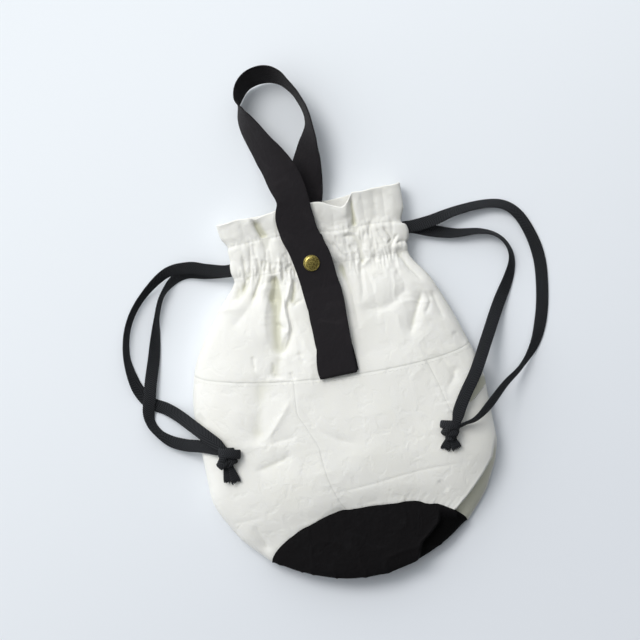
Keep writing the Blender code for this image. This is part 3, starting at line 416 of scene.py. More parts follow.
GATHERS = [
    (-2.0, 1.6, 0.9, 1.0, 0.7, [
        (-55.1, 135.5), (-55.4, 128.5), (-55.7, 120.0), (-57.8, 111.8), (-62.5, 104.2)]),
    (-0.9, 3.0, 3.0, 0.6, 1.0, [(-57.2, 114.8), (-61.9, 107.2), (-69.0, 99.4)]),
    (-1.1, 0.8, 0.8, 0.8, 0.8, [(-51.6, 126.1), (-51.6, 119.9), (-55.7, 114.5)]),
    (-1.0, 0.7, 0.7, 0.8, 0.8, [(-49.0, 124.0), (-47.3, 117.4), (-47.5, 112.0)]),
    (-1.0, 0.6, 0.6, 0.8, 0.8, [(-43.7, 130.7), (-43.1, 125.9), (-43.0, 120.4)]),
    (-1.0, 1.8, 1.4, 0.8, 0.8, [(-44.8, 141.8), (-44.8, 136.4), (-45.2, 131.0)]),
    (-1.6, 0.9, 0.9, 0.8, 0.8, [(-43.3, 125.9), (-44.0, 117.5), (-47.5, 108.9), (-55.6, 96.5)]),
    (-1.3, 0.8, 0.8, 0.8, 0.8, [(-38.6, 128.8), (-41.5, 121.6), (-43.6, 114.3)]),
    (-1.6, 0.8, 0.8, 0.8, 0.8, [(-35.4, 127.4), (-38.0, 122.4), (-40.1, 118.2)]),
    (-2.2, 0.9, 0.9, 0.8, 0.8, [(-33.3, 125.4), (-33.8, 120.0), (-33.1, 114.4)]),
    (-1.6, 0.8, 0.8, 0.8, 0.8, [(-27.3, 124.9), (-29.9, 119.2), (-32.3, 114.2)]),
    (-3.4, 3.0, 5.0, 1.0, 0.8, [(-32.9, 115.1), (-32.3, 107.2), (-34.6, 99.9), (-38.2, 90.5)]),
    (-1.8, 0.9, 1.2, 0.8, 0.8, [(-23.6, 124.1), (-23.9, 116.3), (-26.3, 106.7)]),
    (-1.9, 0.8, 0.8, 0.8, 0.8, [
        (-22.7, 113.7), (-20.1, 118.3), (-16.8, 119.5), (-14.4, 115.9), (-15.6, 108.3)]),
    (1.3, 1.5, 1.5, 0.8, 1.0, [(-25.6, 127.6), (-26.4, 118.4), (-27.2, 106.9)]),
    (1.8, 2.0, 2.4, 0.8, 0.6, [(-17.6, 117.3), (-19.3, 107.5), (-23.4, 97.5), (-26.9, 88.1)]),
    (-2.4, 2.2, 1.5, 0.7, 0.8, [(-16.4, 108.5), (-19.1, 97.4), (-22.8, 87.2)]),
    (1.0, 3.0, 3.0, 0.7, 0.6, [(-37.5, 119.2), (-40.1, 108.8), (-47.0, 93.1)]),
    (-1.0, 1.6, 1.6, 0.8, 0.8, [(-21.2, 129.8), (-19.2, 124.7), (-17.9, 121.3)]),
    (-2.2, 1.0, 1.4, 0.7, 1.0, [
        (29.6, 133.1), (34.9, 134.0), (41.2, 130.7), (42.9, 123.2), (43.6, 117.0), (40.5, 107.6)]),
    (-1.6, 3.2, 2.4, 1.0, 0.4, [(41.0, 109.5), (38.5, 97.9), (38.0, 86.9), (34.7, 76.5)]),
    (-1.9, 0.8, 0.8, 0.8, 1.0, [(65.8, 134.5), (70.0, 123.5), (66.4, 119.8)]),
    (-1.5, 0.8, 0.8, 0.8, 0.8, [(75.2, 126.5), (72.4, 123.0), (68.5, 117.6)]),
    (-0.9, 0.8, 0.8, 0.8, 0.8, [(59.6, 133.8), (62.3, 127.7), (63.8, 122.8)]),
    (-1.3, 1.0, 1.0, 0.8, 0.8, [(56.3, 140.6), (53.3, 134.2), (52.6, 127.2)]),
    (-2.0, 3.0, 1.6, 1.0, 0.4, [(70.4, 115.9), (74.7, 107.4), (81.1, 94.9), (89.5, 82.0)]),
    (-1.5, 1.0, 1.0, 0.8, 0.8, [(73.0, 118.8), (77.3, 120.0), (81.6, 118.5)]),
    (-1.2, 0.8, 0.8, 0.8, 0.8, [(21.1, 130.9), (23.9, 125.3), (26.0, 120.8), (29.6, 116.5)]),
    (-1.3, 0.9, 0.9, 0.8, 0.8, [(34.4, 126.1), (37.0, 120.4), (39.5, 115.4)]),
    (-0.9, 0.9, 0.9, 0.8, 0.8, [(16.4, 132.9), (19.0, 128.3), (19.2, 122.2)]),
    (-1.0, 0.9, 0.9, 0.8, 0.8, [(50.0, 133.9), (47.3, 128.4), (47.0, 122.4)]),
    (-0.8, 1.6, 1.6, 0.8, 0.8, [(48.8, 113.9), (54.9, 109.6), (60.8, 108.8)]),
    (-0.9, 0.8, 0.8, 0.8, 0.8, [(25.2, 136.1), (25.1, 131.1), (27.7, 126.5)]),
]
FOLD_SPACING = 4 * MM
FOLD_REACH_WIDTHS = 4.5  # a fold is worked out this many of its widths away
FOLD_TIP = 0.35 * MM  # how round a narrow fold is at its line
NARROW = 3.0  # a fold wider than this, in millimetres, gets rounder by the share below
WIDE_TIP = 0.35
FOLD_GAIN = 1.4  # the tables' depths are multiplied by this
FOLD_ENDS = (-0.05, 0.22)  # share of a fold's length over which it fades at each end

# The front's lower right edge, drawn in over the wall behind it
DRAWN_EDGE = [(121, -54), (114.8, -73), (103.5, -85.6), (89.6, -98.6), (73.5, -111)]
DRAWN_DROP = 7.5 * MM
DRAWN_WIDTH = 1.4 * MM
DRAWN_LIP = 0.7 * MM
DRAWN_LIP_REACH = 2.5 * MM
DRAWN_START = 5 * MM
DRAWN_HEIGHTS = (3 * MM, 12 * MM)  # it eases in over these heights of the wall

OVER_TAPE = -1.75 * MM  # the deepest that the channel's cloth can go, with the tape behind it
TAPE_SOFT = 0.35 * MM


def fold_shape(plan, depth, left, right, first, last, line):
    """How far one fold moves the cloth at plan points."""
    path = curve_through([(x * MM, y * MM, 0) for x, y in line], FOLD_SPACING)[:, :2]
    places = lengths_along(path)
    reach = FOLD_REACH_WIDTHS * max(left, right) * MM
    near = np.all((plan > path.min(0) - reach) & (plan < path.max(0) + reach), axis=-1)
    moved = np.zeros(plan.shape[:-1])
    at = plan[near]
    nearest = np.full(len(at), np.inf)
    side, along = np.zeros(len(at)), np.zeros(len(at))
    for start, end, place, after in zip(path[:-1], path[1:], places[:-1], places[1:]):
        way = end - start
        t = np.clip((at - start) @ way / (way @ way), 0, 1)
        off = at - start - t[:, None] * way
        distance = np.hypot(off[:, 0], off[:, 1])
        closer = distance < nearest
        nearest = np.where(closer, distance, nearest)
        side = np.where(closer, np.sign(way[0] * off[:, 1] - way[1] * off[:, 0]), side)
        along = np.where(closer, share(place, after, t) / places[-1], along)
    width = np.where(side > 0, left, right) * MM
    tip = FOLD_TIP + WIDE_TIP * max(left - NARROW, right - NARROW, 0) * MM
    profile = np.exp(-(np.sqrt(nearest**2 + tip**2) - tip) / width)
    ends = smooth(*FOLD_ENDS, along) * smooth(*FOLD_ENDS, 1 - along)
    moved[near] = depth * MM * profile * share(first, last, along) * ends
    return moved


# Smaller valleys that the drawstrings pull into the channel. The ranges that each is drawn from

PLEAT_UNEVEN = 0.34
PLEAT_REACH = 0.96  # share of the half width
PLEAT_DEPTH = (1.3, 3.3)
PLEAT_WIDTH = (0.9, 1.9)
PLEAT_DOWN = (1.7, 11)
PLEAT_LEAST_DOWN = 8 * MM
PLEAT_UP = (4, 15)
PLEAT_DRIFT = 0.16
PLEAT_DRIFT_LENGTH = 40 * MM
PLEAT_FADE = 1.2
PLEAT_WIDENS = (20 * MM, 14 * MM)  # below the channel and above it
FRONT_PLEAT_SHARE = 0.45


def pleat_table(count, seed):
    """Uneven valleys along the channel: place, depth, width, reach down and up, and drift."""
    draw = np.random.default_rng(seed)
    spread = (np.arange(count) + 0.5 + draw.uniform(-PLEAT_UNEVEN, PLEAT_UNEVEN, count)) / count
    columns = [
        (2 * spread - 1) * PLEAT_REACH,
        draw.uniform(*PLEAT_DEPTH, count) * MM,
        draw.uniform(*PLEAT_WIDTH, count) * MM,
        draw.gamma(*PLEAT_DOWN, count) * MM + PLEAT_LEAST_DOWN,
        draw.uniform(*PLEAT_UP, count) * MM,
        draw.uniform(-PLEAT_DRIFT, PLEAT_DRIFT, count),
    ]
    return np.stack(columns, axis=-1)


FRONT_PLEATS = pleat_table(count=19, seed=11)
REAR_PLEATS = pleat_table(count=17, seed=5)


def pleats(side, y, table):
    """The valleys that start at the channel, die out down the body and up the frill, and widen."""
    below, above = np.maximum(CHANNEL_Y - y, 0), np.maximum(y - FRILL_Y, 0)
    half_width = eased(HALF_WIDTHS, y)
    total = np.zeros(np.broadcast(side, y).shape)
    for place, depth, width, down, up, drift in table:
        fade = (np.clip(1 - below / down, 0, 1) * np.clip(1 - above / up, 0, 1)) ** PLEAT_FADE
        wide = width * (1 + below / PLEAT_WIDENS[0] + above / PLEAT_WIDENS[1])
        off = (side - place + drift * (y - CHANNEL_Y) / PLEAT_DRIFT_LENGTH) * half_width
        total -= depth * fade * np.exp(-(np.sqrt(off**2 + FOLD_TIP**2) - FOLD_TIP) / wide)
    return total


PUCKER_ROWS = [  # row, reach, seed and strength
    (CHANNEL_Y, 10 * MM, 0, 0.9),
    (FRILL_Y, 6 * MM, 2, 0.42),
]
PUCKER_CELL = 9 * MM
PUCKER_NARROW = 3.2  # how much narrower than long the wrinkles are
PUCKER_BEND = 4 * MM
BEND_SHORTER = 1.5
BEND_SEED = 5
PUCKER_SHARPNESS = 2.2
PUCKER_SIZES = [(0.85, (1, 1, 1), 0), (0.45, (1.7, 1.6, 1), 1)]  # strength, finer by, seed
PUCKER_RANGE = (-0.6, 1)
PUCKER_FADE = 1.5


def puckers(side, y, seed):
    """Short sharp wrinkles across the channel's two rows of stitches."""
    across = side * eased(HALF_WIDTHS, y)
    total = 0
    for row, reach, number, strength in PUCKER_ROWS:
        level = np.full_like(across, row)
        line = np.stack([across * PUCKER_NARROW, y + 0 * across, level], axis=-1)
        bend = np.stack([across, y * BEND_SHORTER, level], axis=-1)
        line[..., 0] += PUCKER_BEND * noise(bend, PUCKER_CELL, seed + number + BEND_SEED)
        near = np.exp(-((np.abs(y - row) / reach) ** PUCKER_FADE))
        for part, finer, other in PUCKER_SIZES:
            ridge = ridged(line * finer, PUCKER_CELL, seed + number + other, PUCKER_SHARPNESS)
            total = total + strength * near * part * np.clip(ridge, *PUCKER_RANGE)
    return total * MM


# Dents and creases: strength, cell and seed of each noise
DENTS = [(1.5, 44 * MM, 1), (0.55, 21 * MM, 2)]
FINE_DENTS = [(0.05, 4.6 * MM, 8), (0.13, 8.5 * MM, 9)]
FINE_LEAST = 0.4
DENTS_LEAST = 0.7
CREASE_WARP = (18 * MM, 6 * MM, (3, 4, 5))
CREASES = [(0.6, (27 * MM, 6, 2.6)), (0.26, (11 * MM, 10, 2.2))]  # strength; cell, seed, sharpness
PATCH_CELL = 37 * MM
PATCH_SEED = 7
PATCH_RANGE = (-0.15, 0.5)


def crumple(points, strength):
    """Soft dents and sharper little creases, as crisp cloth has after use."""
    uneven = warped(points, *CREASE_WARP)
    patches = smooth(*PATCH_RANGE, noise(points, PATCH_CELL, PATCH_SEED))
    sharp = layered(uneven, FINE_DENTS) * (FINE_LEAST + patches)
    for depth, crease in CREASES:
        sharp = sharp + depth * ridged(uneven, *crease).clip(0, 1) ** 2 * patches
    return MM * (layered(points, DENTS) * share(DENTS_LEAST, 1, strength) + strength * sharp)


FACING_UP = (0.02, 0.3)  # the front's folds grow over this range of how much the wall faces up
SIDE_FADE = 10
CHANNEL_PUFF = 0.6 * MM
CHANNEL_EASE = 4 * MM
STITCH_PINCH = 0.2 * MM
PINCH_WIDTH = 1.1 * MM
BACK_WAVES = 3.85  # half waves of the frill's back
BACK_WAVES_START = 2.0
BACK_WAVES_DEPTH = 0.8 * FRILL_DEPTH
FRONT_PUCKERS_SEED = 80
BACK_PUCKERS_SEED = 90
FRILL_GATHERS = 0.6  # share of the gathers that goes on into the frill
LOOSE = 0.5 * MM
LOWER_CRUMPLE = 0.28
UPPER_CRUMPLE = 0.9
NECK_CRUMPLE = 0.75
BACK_CRUMPLE = 0.35
HELD_EASE = 3 * MM


def on_front(angle):
    return smooth(*FACING_UP, np.cos(angle))


def between_rows(y, inside, beyond=0.0):
    """1 in the channel, easing to 0 over its edges."""
    lower = smooth(CHANNEL_Y - beyond, CHANNEL_Y + inside, y)
    return lower * smooth(FRILL_Y + beyond, FRILL_Y - inside, y)


def relief(angle, y):
    """How far the folds, pleats and crumples push the cloth outwards at a point."""
    angle, y = np.broadcast_arrays(np.asarray(angle, float), np.asarray(y, float))
    base = ring(angle, y)
    side, front, up = np.sin(angle), on_front(angle), np.cos(angle) > 0
    front_pleats = FRONT_PLEAT_SHARE * pleats(side, y, FRONT_PLEATS)
    gathered = np.where(up, front_pleats, pleats(side, y, REAR_PLEATS))
    small = np.where(up, puckers(side, y, FRONT_PUCKERS_SEED), puckers(side, y, BACK_PUCKERS_SEED))
    frill_zone = smooth(FRILL_Y - 14 * MM, FRILL_Y, y)
    gathers = share(gathered, gathered * FRILL_GATHERS, frill_zone) + small + LOOSE
    waves = np.cos(math.pi * BACK_WAVES * side + BACK_WAVES_START)
    waves = waves * BACK_WAVES_DEPTH * eased(FRILL_STRENGTHS, y)
    pinch = sum(np.exp(-(((y - row) / PINCH_WIDTH) ** 2)) for row in (CHANNEL_Y, FRILL_Y))
    moved = (1 - np.abs(side) ** SIDE_FADE) * (gathers + waves * (1 - front))
    moved = moved + CHANNEL_PUFF * between_rows(y, CHANNEL_EASE) - STITCH_PINCH * pinch

    plan = base[..., :2]
    body, frill, neck = (
        sum(fold_shape(plan, *fold) for fold in folds) for folds in (BODY_FOLDS, FRILL_FOLDS, GATHERS)
    )
    placed = FOLD_GAIN * (body * (1 - frill_zone) + neck)
    placed = placed + frill * smooth(FRILL_Y - 12 * MM, FRILL_Y, y)
    strength = share(LOWER_CRUMPLE, UPPER_CRUMPLE, smooth(SEAM_Y - 20 * MM, SEAM_Y + 15 * MM, y))
    strength = strength * share(1.0, NECK_CRUMPLE, smooth(CHANNEL_Y - 20 * MM, CHANNEL_Y, y))
    moved = moved + placed * front + crumple(base, strength) * share(BACK_CRUMPLE, 1, front)

    above = moved - OVER_TAPE
    clear = OVER_TAPE + (above + np.sqrt(above**2 + TAPE_SOFT**2)) / 2
    return share(moved, clear, between_rows(y, 0.0, HELD_EASE))


SEAM_ROLL = 0.75 * MM  # beside a seam the cloth turns in over this width
SEAM_DEPTH = 0.21 * MM
SEAM_PUCKERS = [(0.16 * MM, 4.2 * MM, 0), (0.096 * MM, 2.3 * MM, 1)]  # strength, cell and seed
SEAM_PUCKER_REACH = 4.5 * MM


def seam_groove(distance, along, seed):
    """The dip at a seam, with small uneven puckers beside it."""
    small = layered(on_axis(along), [(strength, cell, seed + n) for strength, cell, n in SEAM_PUCKERS])
    dip = SEAM_DEPTH * np.exp(-((distance / SEAM_ROLL) ** 2))
    return small * np.exp(-distance / SEAM_PUCKER_REACH) - dip


SEAM_PLACES = {  # place along the body and share of its half width
    "front_left": [
        (RIM_Y, -0.17), (-68 * MM, -0.20), (-40 * MM, -0.205),
        (-11 * MM, -0.262), (7 * MM, -0.305), (SEAM_Y, -0.30),
    ],
    "front_right": [(RIM_Y, 0.76), (-60 * MM, 0.765), (-32 * MM, 0.735), (0, 0.69), (SEAM_Y, 0.665)],
    "back_right": [(RIM_Y, BACK_SEAM_RIGHT), (SEAM_Y, BACK_SEAM_RIGHT)],
    "back_left": [(RIM_Y, BACK_SEAM_LEFT), (SEAM_Y, BACK_SEAM_LEFT)],
}
FRONT_SHOWN = 0.7  # how plainly a front seam shows, where a back one is 1
PRESSED_SHOWN = 0.15
PRESSED_ROWS = (-62 * MM, -38 * MM)
MAIN_SEED = 20
RIM_SEED = 30
PANEL_SEED = 40
RIM_GROOVE = (1.4, 1.2)  # how much wider and deeper the base's seam is
LEAST_FACING = 0.3


def seam_shown(name, y):
    """How plainly a seam shows. The right one lies pressed flat below the knot."""
    if name == "front_right":
        return share(PRESSED_SHOWN, FRONT_SHOWN, smooth(*PRESSED_ROWS, y))
    return FRONT_SHOWN if name.startswith("front") else 1.0


def panel_seam(name, y):
    """The angle of one seam between the lower panels, at places y."""
    side = np.arcsin(eased(SEAM_PLACES[name], y))
    return math.pi - side if name.startswith("back") else side


def beside_seam(name, angle, y):
    """How far points of the wall are from a seam between the lower panels, round the ring."""
    apart = (angle - panel_seam(name, y) + math.pi) % (2 * math.pi) - math.pi
    return np.abs(apart) * eased(HALF_WIDTHS, y)


def seams(angle, y):
    """The grooves along the main seam, the base's seam and the lower panels' seams."""
    round_body = angle * BODY_HALF_WIDTH
    wider, deeper = RIM_GROOVE
    total = seam_groove(np.abs(y - SEAM_Y), round_body, MAIN_SEED)
    total = total + seam_groove(np.abs(y - RIM_Y) / wider, round_body, RIM_SEED) * deeper
    below = smooth(SEAM_Y + 1 * MM, SEAM_Y - 1 * MM, y)
    for number, name in enumerate(SEAM_PLACES):
        facing = np.maximum(np.abs(np.cos(panel_seam(name, y))), LEAST_FACING)
        groove = seam_groove(beside_seam(name, angle, y) * facing, y, PANEL_SEED + number)
        total = total + below * groove * seam_shown(name, y)
    return total


def right_of_line(points, line, width):
    """How far points are to the right of a line down the pouch, and that eased from 0 to 1 over width."""
    line = np.array(line) * MM
    off = points[..., 0] - np.interp(points[..., 1], line[::-1, 1], line[::-1, 0])
    return off, smooth(0, width, off)


def drawn_edge(points):
    """Lets the cloth beyond the drawn-in edge drop, so that the front's edge stands over it."""
    off, beyond = right_of_line(points, DRAWN_EDGE, DRAWN_WIDTH)
    lip = np.exp(-np.abs(off + DRAWN_LIP) / DRAWN_LIP_REACH) * (1 - beyond)
    first, second = (place[1] * MM for place in DRAWN_EDGE[:2])
    reach = smooth(first, second - DRAWN_START, points[..., 1])
    return (DRAWN_DROP * beyond - DRAWN_LIP * lip) * reach * smooth(*DRAWN_HEIGHTS, points[..., 2])


MOUTH_DIPS = [  # how far the front's edge sags below the back's, in millimetres across and down
    (-52, 0), (-44, 0.4), (-38, 2.2), (-33, 1.2), (-27, 0), (10, 0),
    (16, 0.6), (28, 5.8), (35.2, 9.0), (40.0, 6.2), (45.5, 0),
]
MOUTH_WANDER = [(0.8 * MM, 9 * MM, 95)]  # strength, cell and seed
ROW_WANDERS = [  # a row of stitches, its reach, and the noises that move it
    (FRILL_Y, 9 * MM, [(3.2 * MM, 30 * MM, 96)]),
    (CHANNEL_Y, 9 * MM, [(2.2 * MM, 26 * MM, 97)]),
    (RIM_Y, 7 * MM, [(1.0 * MM, 24 * MM, 98), (1.3 * MM, 9 * MM, 99)]),
]
ROW_FADE = 6


def row_shift(line, angle, y):
    """How far the channel's two rows of stitches and the base's front seam are from straight."""
    moved = 0
    for row, reach, layers in ROW_WANDERS:
        shown = (np.cos(angle) > 0) if row == RIM_Y else 1
        moved = moved + shown * np.exp(-(((y - row) / reach) ** 2)) * layered(line, layers)
    return moved * (1 - np.abs(np.sin(angle)) ** ROW_FADE)


def mouth_shift(points, angle, y):
    """How far the mouth's edge lies from its even line, fading out to the frill's seam."""
    x = points[..., 0]
    line = np.stack([x, 0 * x, np.sign(np.cos(angle)) + 0 * y], axis=-1)
    dips = eased(MOUTH_DIPS, x / MM) * MM * (np.cos(angle) > 0)
    rising = smooth(FRILL_Y + 2 * MM, MOUTH_Y, y)
    return rising * (layered(line, MOUTH_WANDER) - dips) + row_shift(line, angle, y)


GAP_HALF = 6.4 * MM
GAP_OPEN = 2.6 * MM
GAP_REACH = 5 * MM
LIP_OUT = 3.4 * MM
LIP_HALF = 7.6 * MM
LIP_BELOW = 2.6 * MM  # the lip's middle below the cord's
LIP_REACH = 8 * MM
LIP_WAIST = (0.25, 1.15, 0.22)  # depth, place and width, as shares of the lip
LEFT_LIP = 0.35  # the left gap's lip, where the right one's is 1


def cord_gaps(angle, y):
    """How far the gaps for the drawstrings stand open, and their rounded edges out sideways."""
    depth, place, width = LIP_WAIST
    opened, pushed = 0, 0
    for exit_side, row, strength in ((-1, LEFT_Y, LEFT_LIP), (1, RIGHT_Y, 1.0)):
        near = np.linalg.norm(ring(angle, row) - ring(exit_side * QUARTER, row), axis=-1)
        gap = np.sqrt(np.clip(1 - ((y - row) / GAP_HALF) ** 2, 0, 1))
        opened = opened + GAP_OPEN * gap * np.exp(-((near / GAP_REACH) ** 2))
        off = (y - row + LIP_BELOW) / LIP_HALF
        waist = depth * np.exp(-(((np.abs(off) - place) / width) ** 2))
        lip = np.sqrt(np.clip(1 - off**2, 0, 1)) - waist
        pushed = pushed + strength * exit_side * lip * np.exp(-((near / LIP_REACH) ** 2))
    return opened, LIP_OUT * pushed


PRESS_REACH = 13 * MM
PRESS_SLOPE = 0.75
PRESS_FROM = 5 * MM  # only the front is pressed, which is higher than this
OFF_FLOOR = 0.3 * MM


def pressed(points):
    """The cloth's height, pressed below the cords and knots that lie on it."""
    z = points[..., 2].copy()
    for x, y, bottom, half_width in RESTING:
        distance = np.hypot(points[..., 0] - x, points[..., 1] - y)
        limit = bottom + np.maximum(distance - half_width, 0) * PRESS_SLOPE
        near = (distance < PRESS_REACH) & (points[..., 2] > PRESS_FROM)
        z = np.where(near, np.minimum(z, limit), z)
    return z


def wall(angle, y, inset=0.0):
    """A point of the cloth, pushed out by its folds and held down by the strap."""
    base, normal = ring(angle, y), outward(angle, y)
    push = relief(angle, y) + seams(angle, y) - inset
    placed = base + normal * push[..., None]
    placed[..., 2] -= drawn_edge(placed)
    placed[..., 1] += mouth_shift(base, angle, y)
    opened, pushed = cord_gaps(angle, y)
    placed[..., 2] += opened * np.where(np.cos(angle) >= 0, 1, -1)
    placed[..., 0] += pushed
    placed[..., 2] = under_strap(placed)
    placed[..., 2] = np.maximum(pressed(placed), OFF_FLOOR)
    return placed


# The strap's route, as the construction has it

UNDER_LAYER_Z = cloth_top(SNAP_Y) + SNAP_FLANGE + 2 * CLEAR + STRAP_THICKNESS / 2
SNAP_GAP = SOCKET_HEIGHT + STUD_FLANGE + 3 * CLEAR
UPPER_LAYER_Z = UNDER_LAYER_Z + STRAP_THICKNESS + SNAP_GAP
OVER_MOUTH_Z = cloth_top(MOUTH_Y) + CLEAR + STRAP_THICKNESS / 2
INNER_END_Z = back_height(FRILL_Y) + GATHER_DEPTH * CHANNEL_RIPPLE + CHANNEL_INSET
INNER_END_Z += CLOTH / 2 + 2 * CLEAR + STRAP_THICKNESS / 2
INNER_MOUTH_Z = back_height(MOUTH_Y) + FRILL_DEPTH + FACING_INSET
INNER_MOUTH_Z += CLOTH / 2 + 2 * CLEAR + STRAP_THICKNESS / 2
ON_EDGE_Z = STRAP_WIDTH / 2 + 0.8 * MM

LOOP_ABOVE_MOUTH = [
    (-0.047, -0.069, OVER_MOUTH_Z, 0),
    (-0.047, 0.043, OVER_MOUTH_Z, 0),
    (-0.060, 0.163, OVER_MOUTH_Z - 1 * MM, 6),
    (-0.094, 0.300, OVER_MOUTH_Z - 4 * MM, 25),
    (-0.158, 0.446, ON_EDGE_Z + 6 * MM, 44),
    (-0.244, 0.652, ON_EDGE_Z + 1 * MM, 62),
    (-0.272, 0.765, ON_EDGE_Z, 80),
    (-0.270, 0.850, ON_EDGE_Z, 101),
    (-0.220, 0.934, ON_EDGE_Z, 109),
    (-0.137, 0.980, ON_EDGE_Z, 114),
    (-0.043, 0.982, ON_EDGE_Z, 113),
    (0.034, 0.948, ON_EDGE_Z, 107),
    (0.092, 0.885, ON_EDGE_Z, 99),
    (0.146, 0.796, ON_EDGE_Z, 96),
    (0.184, 0.687, ON_EDGE_Z, 96),
    (0.192, 0.584, ON_EDGE_Z, 99),
    (0.174, 0.481, ON_EDGE_Z - 1 * MM, 114),
    (0.143, 0.378, ON_EDGE_Z - 3 * MM, 131),
    (0.107, 0.258, INNER_MOUTH_Z + 1.5 * MM, 150),
    (0.069, 0.120, INNER_MOUTH_Z + 0.5 * MM, 172),
]
STRAP_LOOP = [(x * LOOP_REACH, MOUTH_Y + y * LOOP_REACH, z, lean) for x, y, z, lean in LOOP_ABOVE_MOUTH]
STRAP_LOOP += [
    (4.5 * MM, MOUTH_Y, INNER_MOUTH_Z, 180),
    (3 * MM, share(FRILL_Y, MOUTH_Y, 0.45), share(INNER_END_Z, INNER_MOUTH_Z, 0.5), 180),
    (2 * MM, FRILL_Y - CHANNEL_MARGIN, INNER_END_Z, 180),
    (1.5 * MM, STRAP_INNER_END_Y, INNER_END_Z, 180),
]
STRAP_REST = 2 * CLEAR + STRAP_THICKNESS / 2
STRAP_RISE = STRAP_THICKNESS + STRAP_FOLD_GAP
STRAP_END_Z = cloth_top(STRAP_END_Y) + STRAP_REST
SNAP_FLAT = SNAP_RADIUS + 4 * MM
UNDER_LAYER = [
    (SNAP_X - 1.5 * MM, STRAP_ANCHOR_Y, UNDER_LAYER_Z),
    (SNAP_X, SNAP_Y + SNAP_FLAT, UNDER_LAYER_Z),
    (SNAP_X + 1 * MM, SNAP_Y - SNAP_FLAT, UNDER_LAYER_Z),
    (STRAP_X, STRAP_END_Y + STRAP_RISE / 2, STRAP_END_Z),
]
UPPER_LAYER = [
    (STRAP_X, STRAP_END_Y + STRAP_RISE / 2, STRAP_END_Z + STRAP_RISE),
    (SNAP_X + 1 * MM, SNAP_Y - SNAP_FLAT, UPPER_LAYER_Z),
    (SNAP_X - 0.5 * MM, SNAP_Y + SNAP_FLAT, UPPER_LAYER_Z),
    (-3.5 * MM, FRILL_Y + 1 * MM, share(UPPER_LAYER_Z, OVER_MOUTH_Z, 0.6)),
]
STRAP_FOLD = [
    (STRAP_X, STRAP_END_Y + 0.2 * STRAP_RISE, STRAP_END_Z + 0.15 * STRAP_RISE),
    (STRAP_X, STRAP_END_Y, STRAP_END_Z + 0.5 * STRAP_RISE),
    (STRAP_X, STRAP_END_Y + 0.2 * STRAP_RISE, STRAP_END_Z + 0.85 * STRAP_RISE),
]


def strap_layer(stations, raised, y):
    """Points of a layer of the strap's flat part at places y."""
    by_y = sorted(stations, key=lambda station: station[1])
    x = eased([(s[1], s[0]) for s in by_y], y)
    z = np.maximum(eased([(s[1], s[2]) for s in by_y], y), cloth_top(y) + STRAP_REST + raised)
    return np.stack([x, y, z], axis=-1)


PRESSED_BESIDE = (5 * MM, 0.5 * MM)  # how far beside the strap the cloth isn't pressed, and is
UNDER_STRAP_GAP = 0.35 * MM
FRILL_MIDDLES = (-1 * MM, -5.5 * MM)  # the strap's middle at the frill's seam and at the mouth


def under_strap(points):
    """The cloth's height, pressed below the strap where the strap lies on it."""
    x, y, z = points[..., 0], points[..., 1], points[..., 2]
    lying = strap_layer(UNDER_LAYER, 0, np.minimum(y, STRAP_ANCHOR_Y))
    on_body = y < STRAP_ANCHOR_Y
    middle = np.where(on_body, lying[..., 0], share(*FRILL_MIDDLES, (y - FRILL_Y) / FRILL_LENGTH))
    bottom = np.where(on_body, lying[..., 2], OVER_MOUTH_Z) - STRAP_THICKNESS / 2 - UNDER_STRAP_GAP
    near = smooth(*PRESSED_BESIDE, np.abs(x - middle) - STRAP_WIDTH / 2)
    near = near * smooth(*PRESSED_BESIDE, STRAP_END_Y - y)
    return np.where(z > bottom, share(z, bottom, near), z)


# The drawstrings' routes, as the construction has them: x, y, height and lean

LEFT_Y = CHANNEL_Y + CHANNEL_MARGIN + CLEAR + HELD_TAPE_WIDTH / 2
RIGHT_Y = FRILL_Y - CHANNEL_MARGIN - CLEAR - HELD_TAPE_WIDTH / 2
TAPE_INSET = GATHER_DEPTH + CLOTH / 2 + CLEAR + TAPE_THICKNESS / 2

LEFT_OUTER = [
    (-88, 130.5, 11.0, 8),
    (-102, 135.2, 11.4, 20),
    (-122, 134.4, 10.0, 42),
    (-146, 118.5, 5.2, 62),
    (-161.5, 98.5, 4.8, 65),
    (-168.5, 74.5, 4.8, 62),
    (-167, 51, 3.4, 35),
    (-162, 36.5, 1.6, 8),
    (-155.5, 29, 1.2, 2),
    (-145.5, 23, 2.2, 0),
    (-136.5, 15.5, 7.5, 0),
    (-127.5, 6.3, 16.5, 0),
    (-118.3, -3.4, 25.8, 0),
    (-110.5, -11.8, 30.2, 0),
    (-104.5, -19.0, 32.0, 0),
    (-101.5, -23.5, 31.5, 0),
]
LEFT_INNER = [
    (-88, 128.0, 6.0, 8),
    (-104, 131.4, 3.8, 24),
    (-117, 127.4, 4.4, 48),
    (-129, 116.4, 5.2, 72),
    (-136.4, 101.0, 5.2, 70),
    (-141.2, 85.0, 4.6, 46),
    (-146.4, 67.2, 3.4, 20),
    (-153.4, 47.0, 4.6, 6),
    (-156.8, 35.0, 5.0, 8),
    (-160.2, 23.5, 4.6, 20),
    (-160.2, 13.5, 4.4, 46),
    (-155.2, 3.6, 4.8, 52),
    (-147.0, -4.6, 4.6, 30),
    (-135.4, -10.4, 8.6, 8),
    (-123.0, -13.6, 18.5, 0),
    (-112.5, -17.0, 27.5, 0),
    (-105.5, -21.5, 31.0, 0),
    (-102.5, -25.0, 31.0, 0),
]
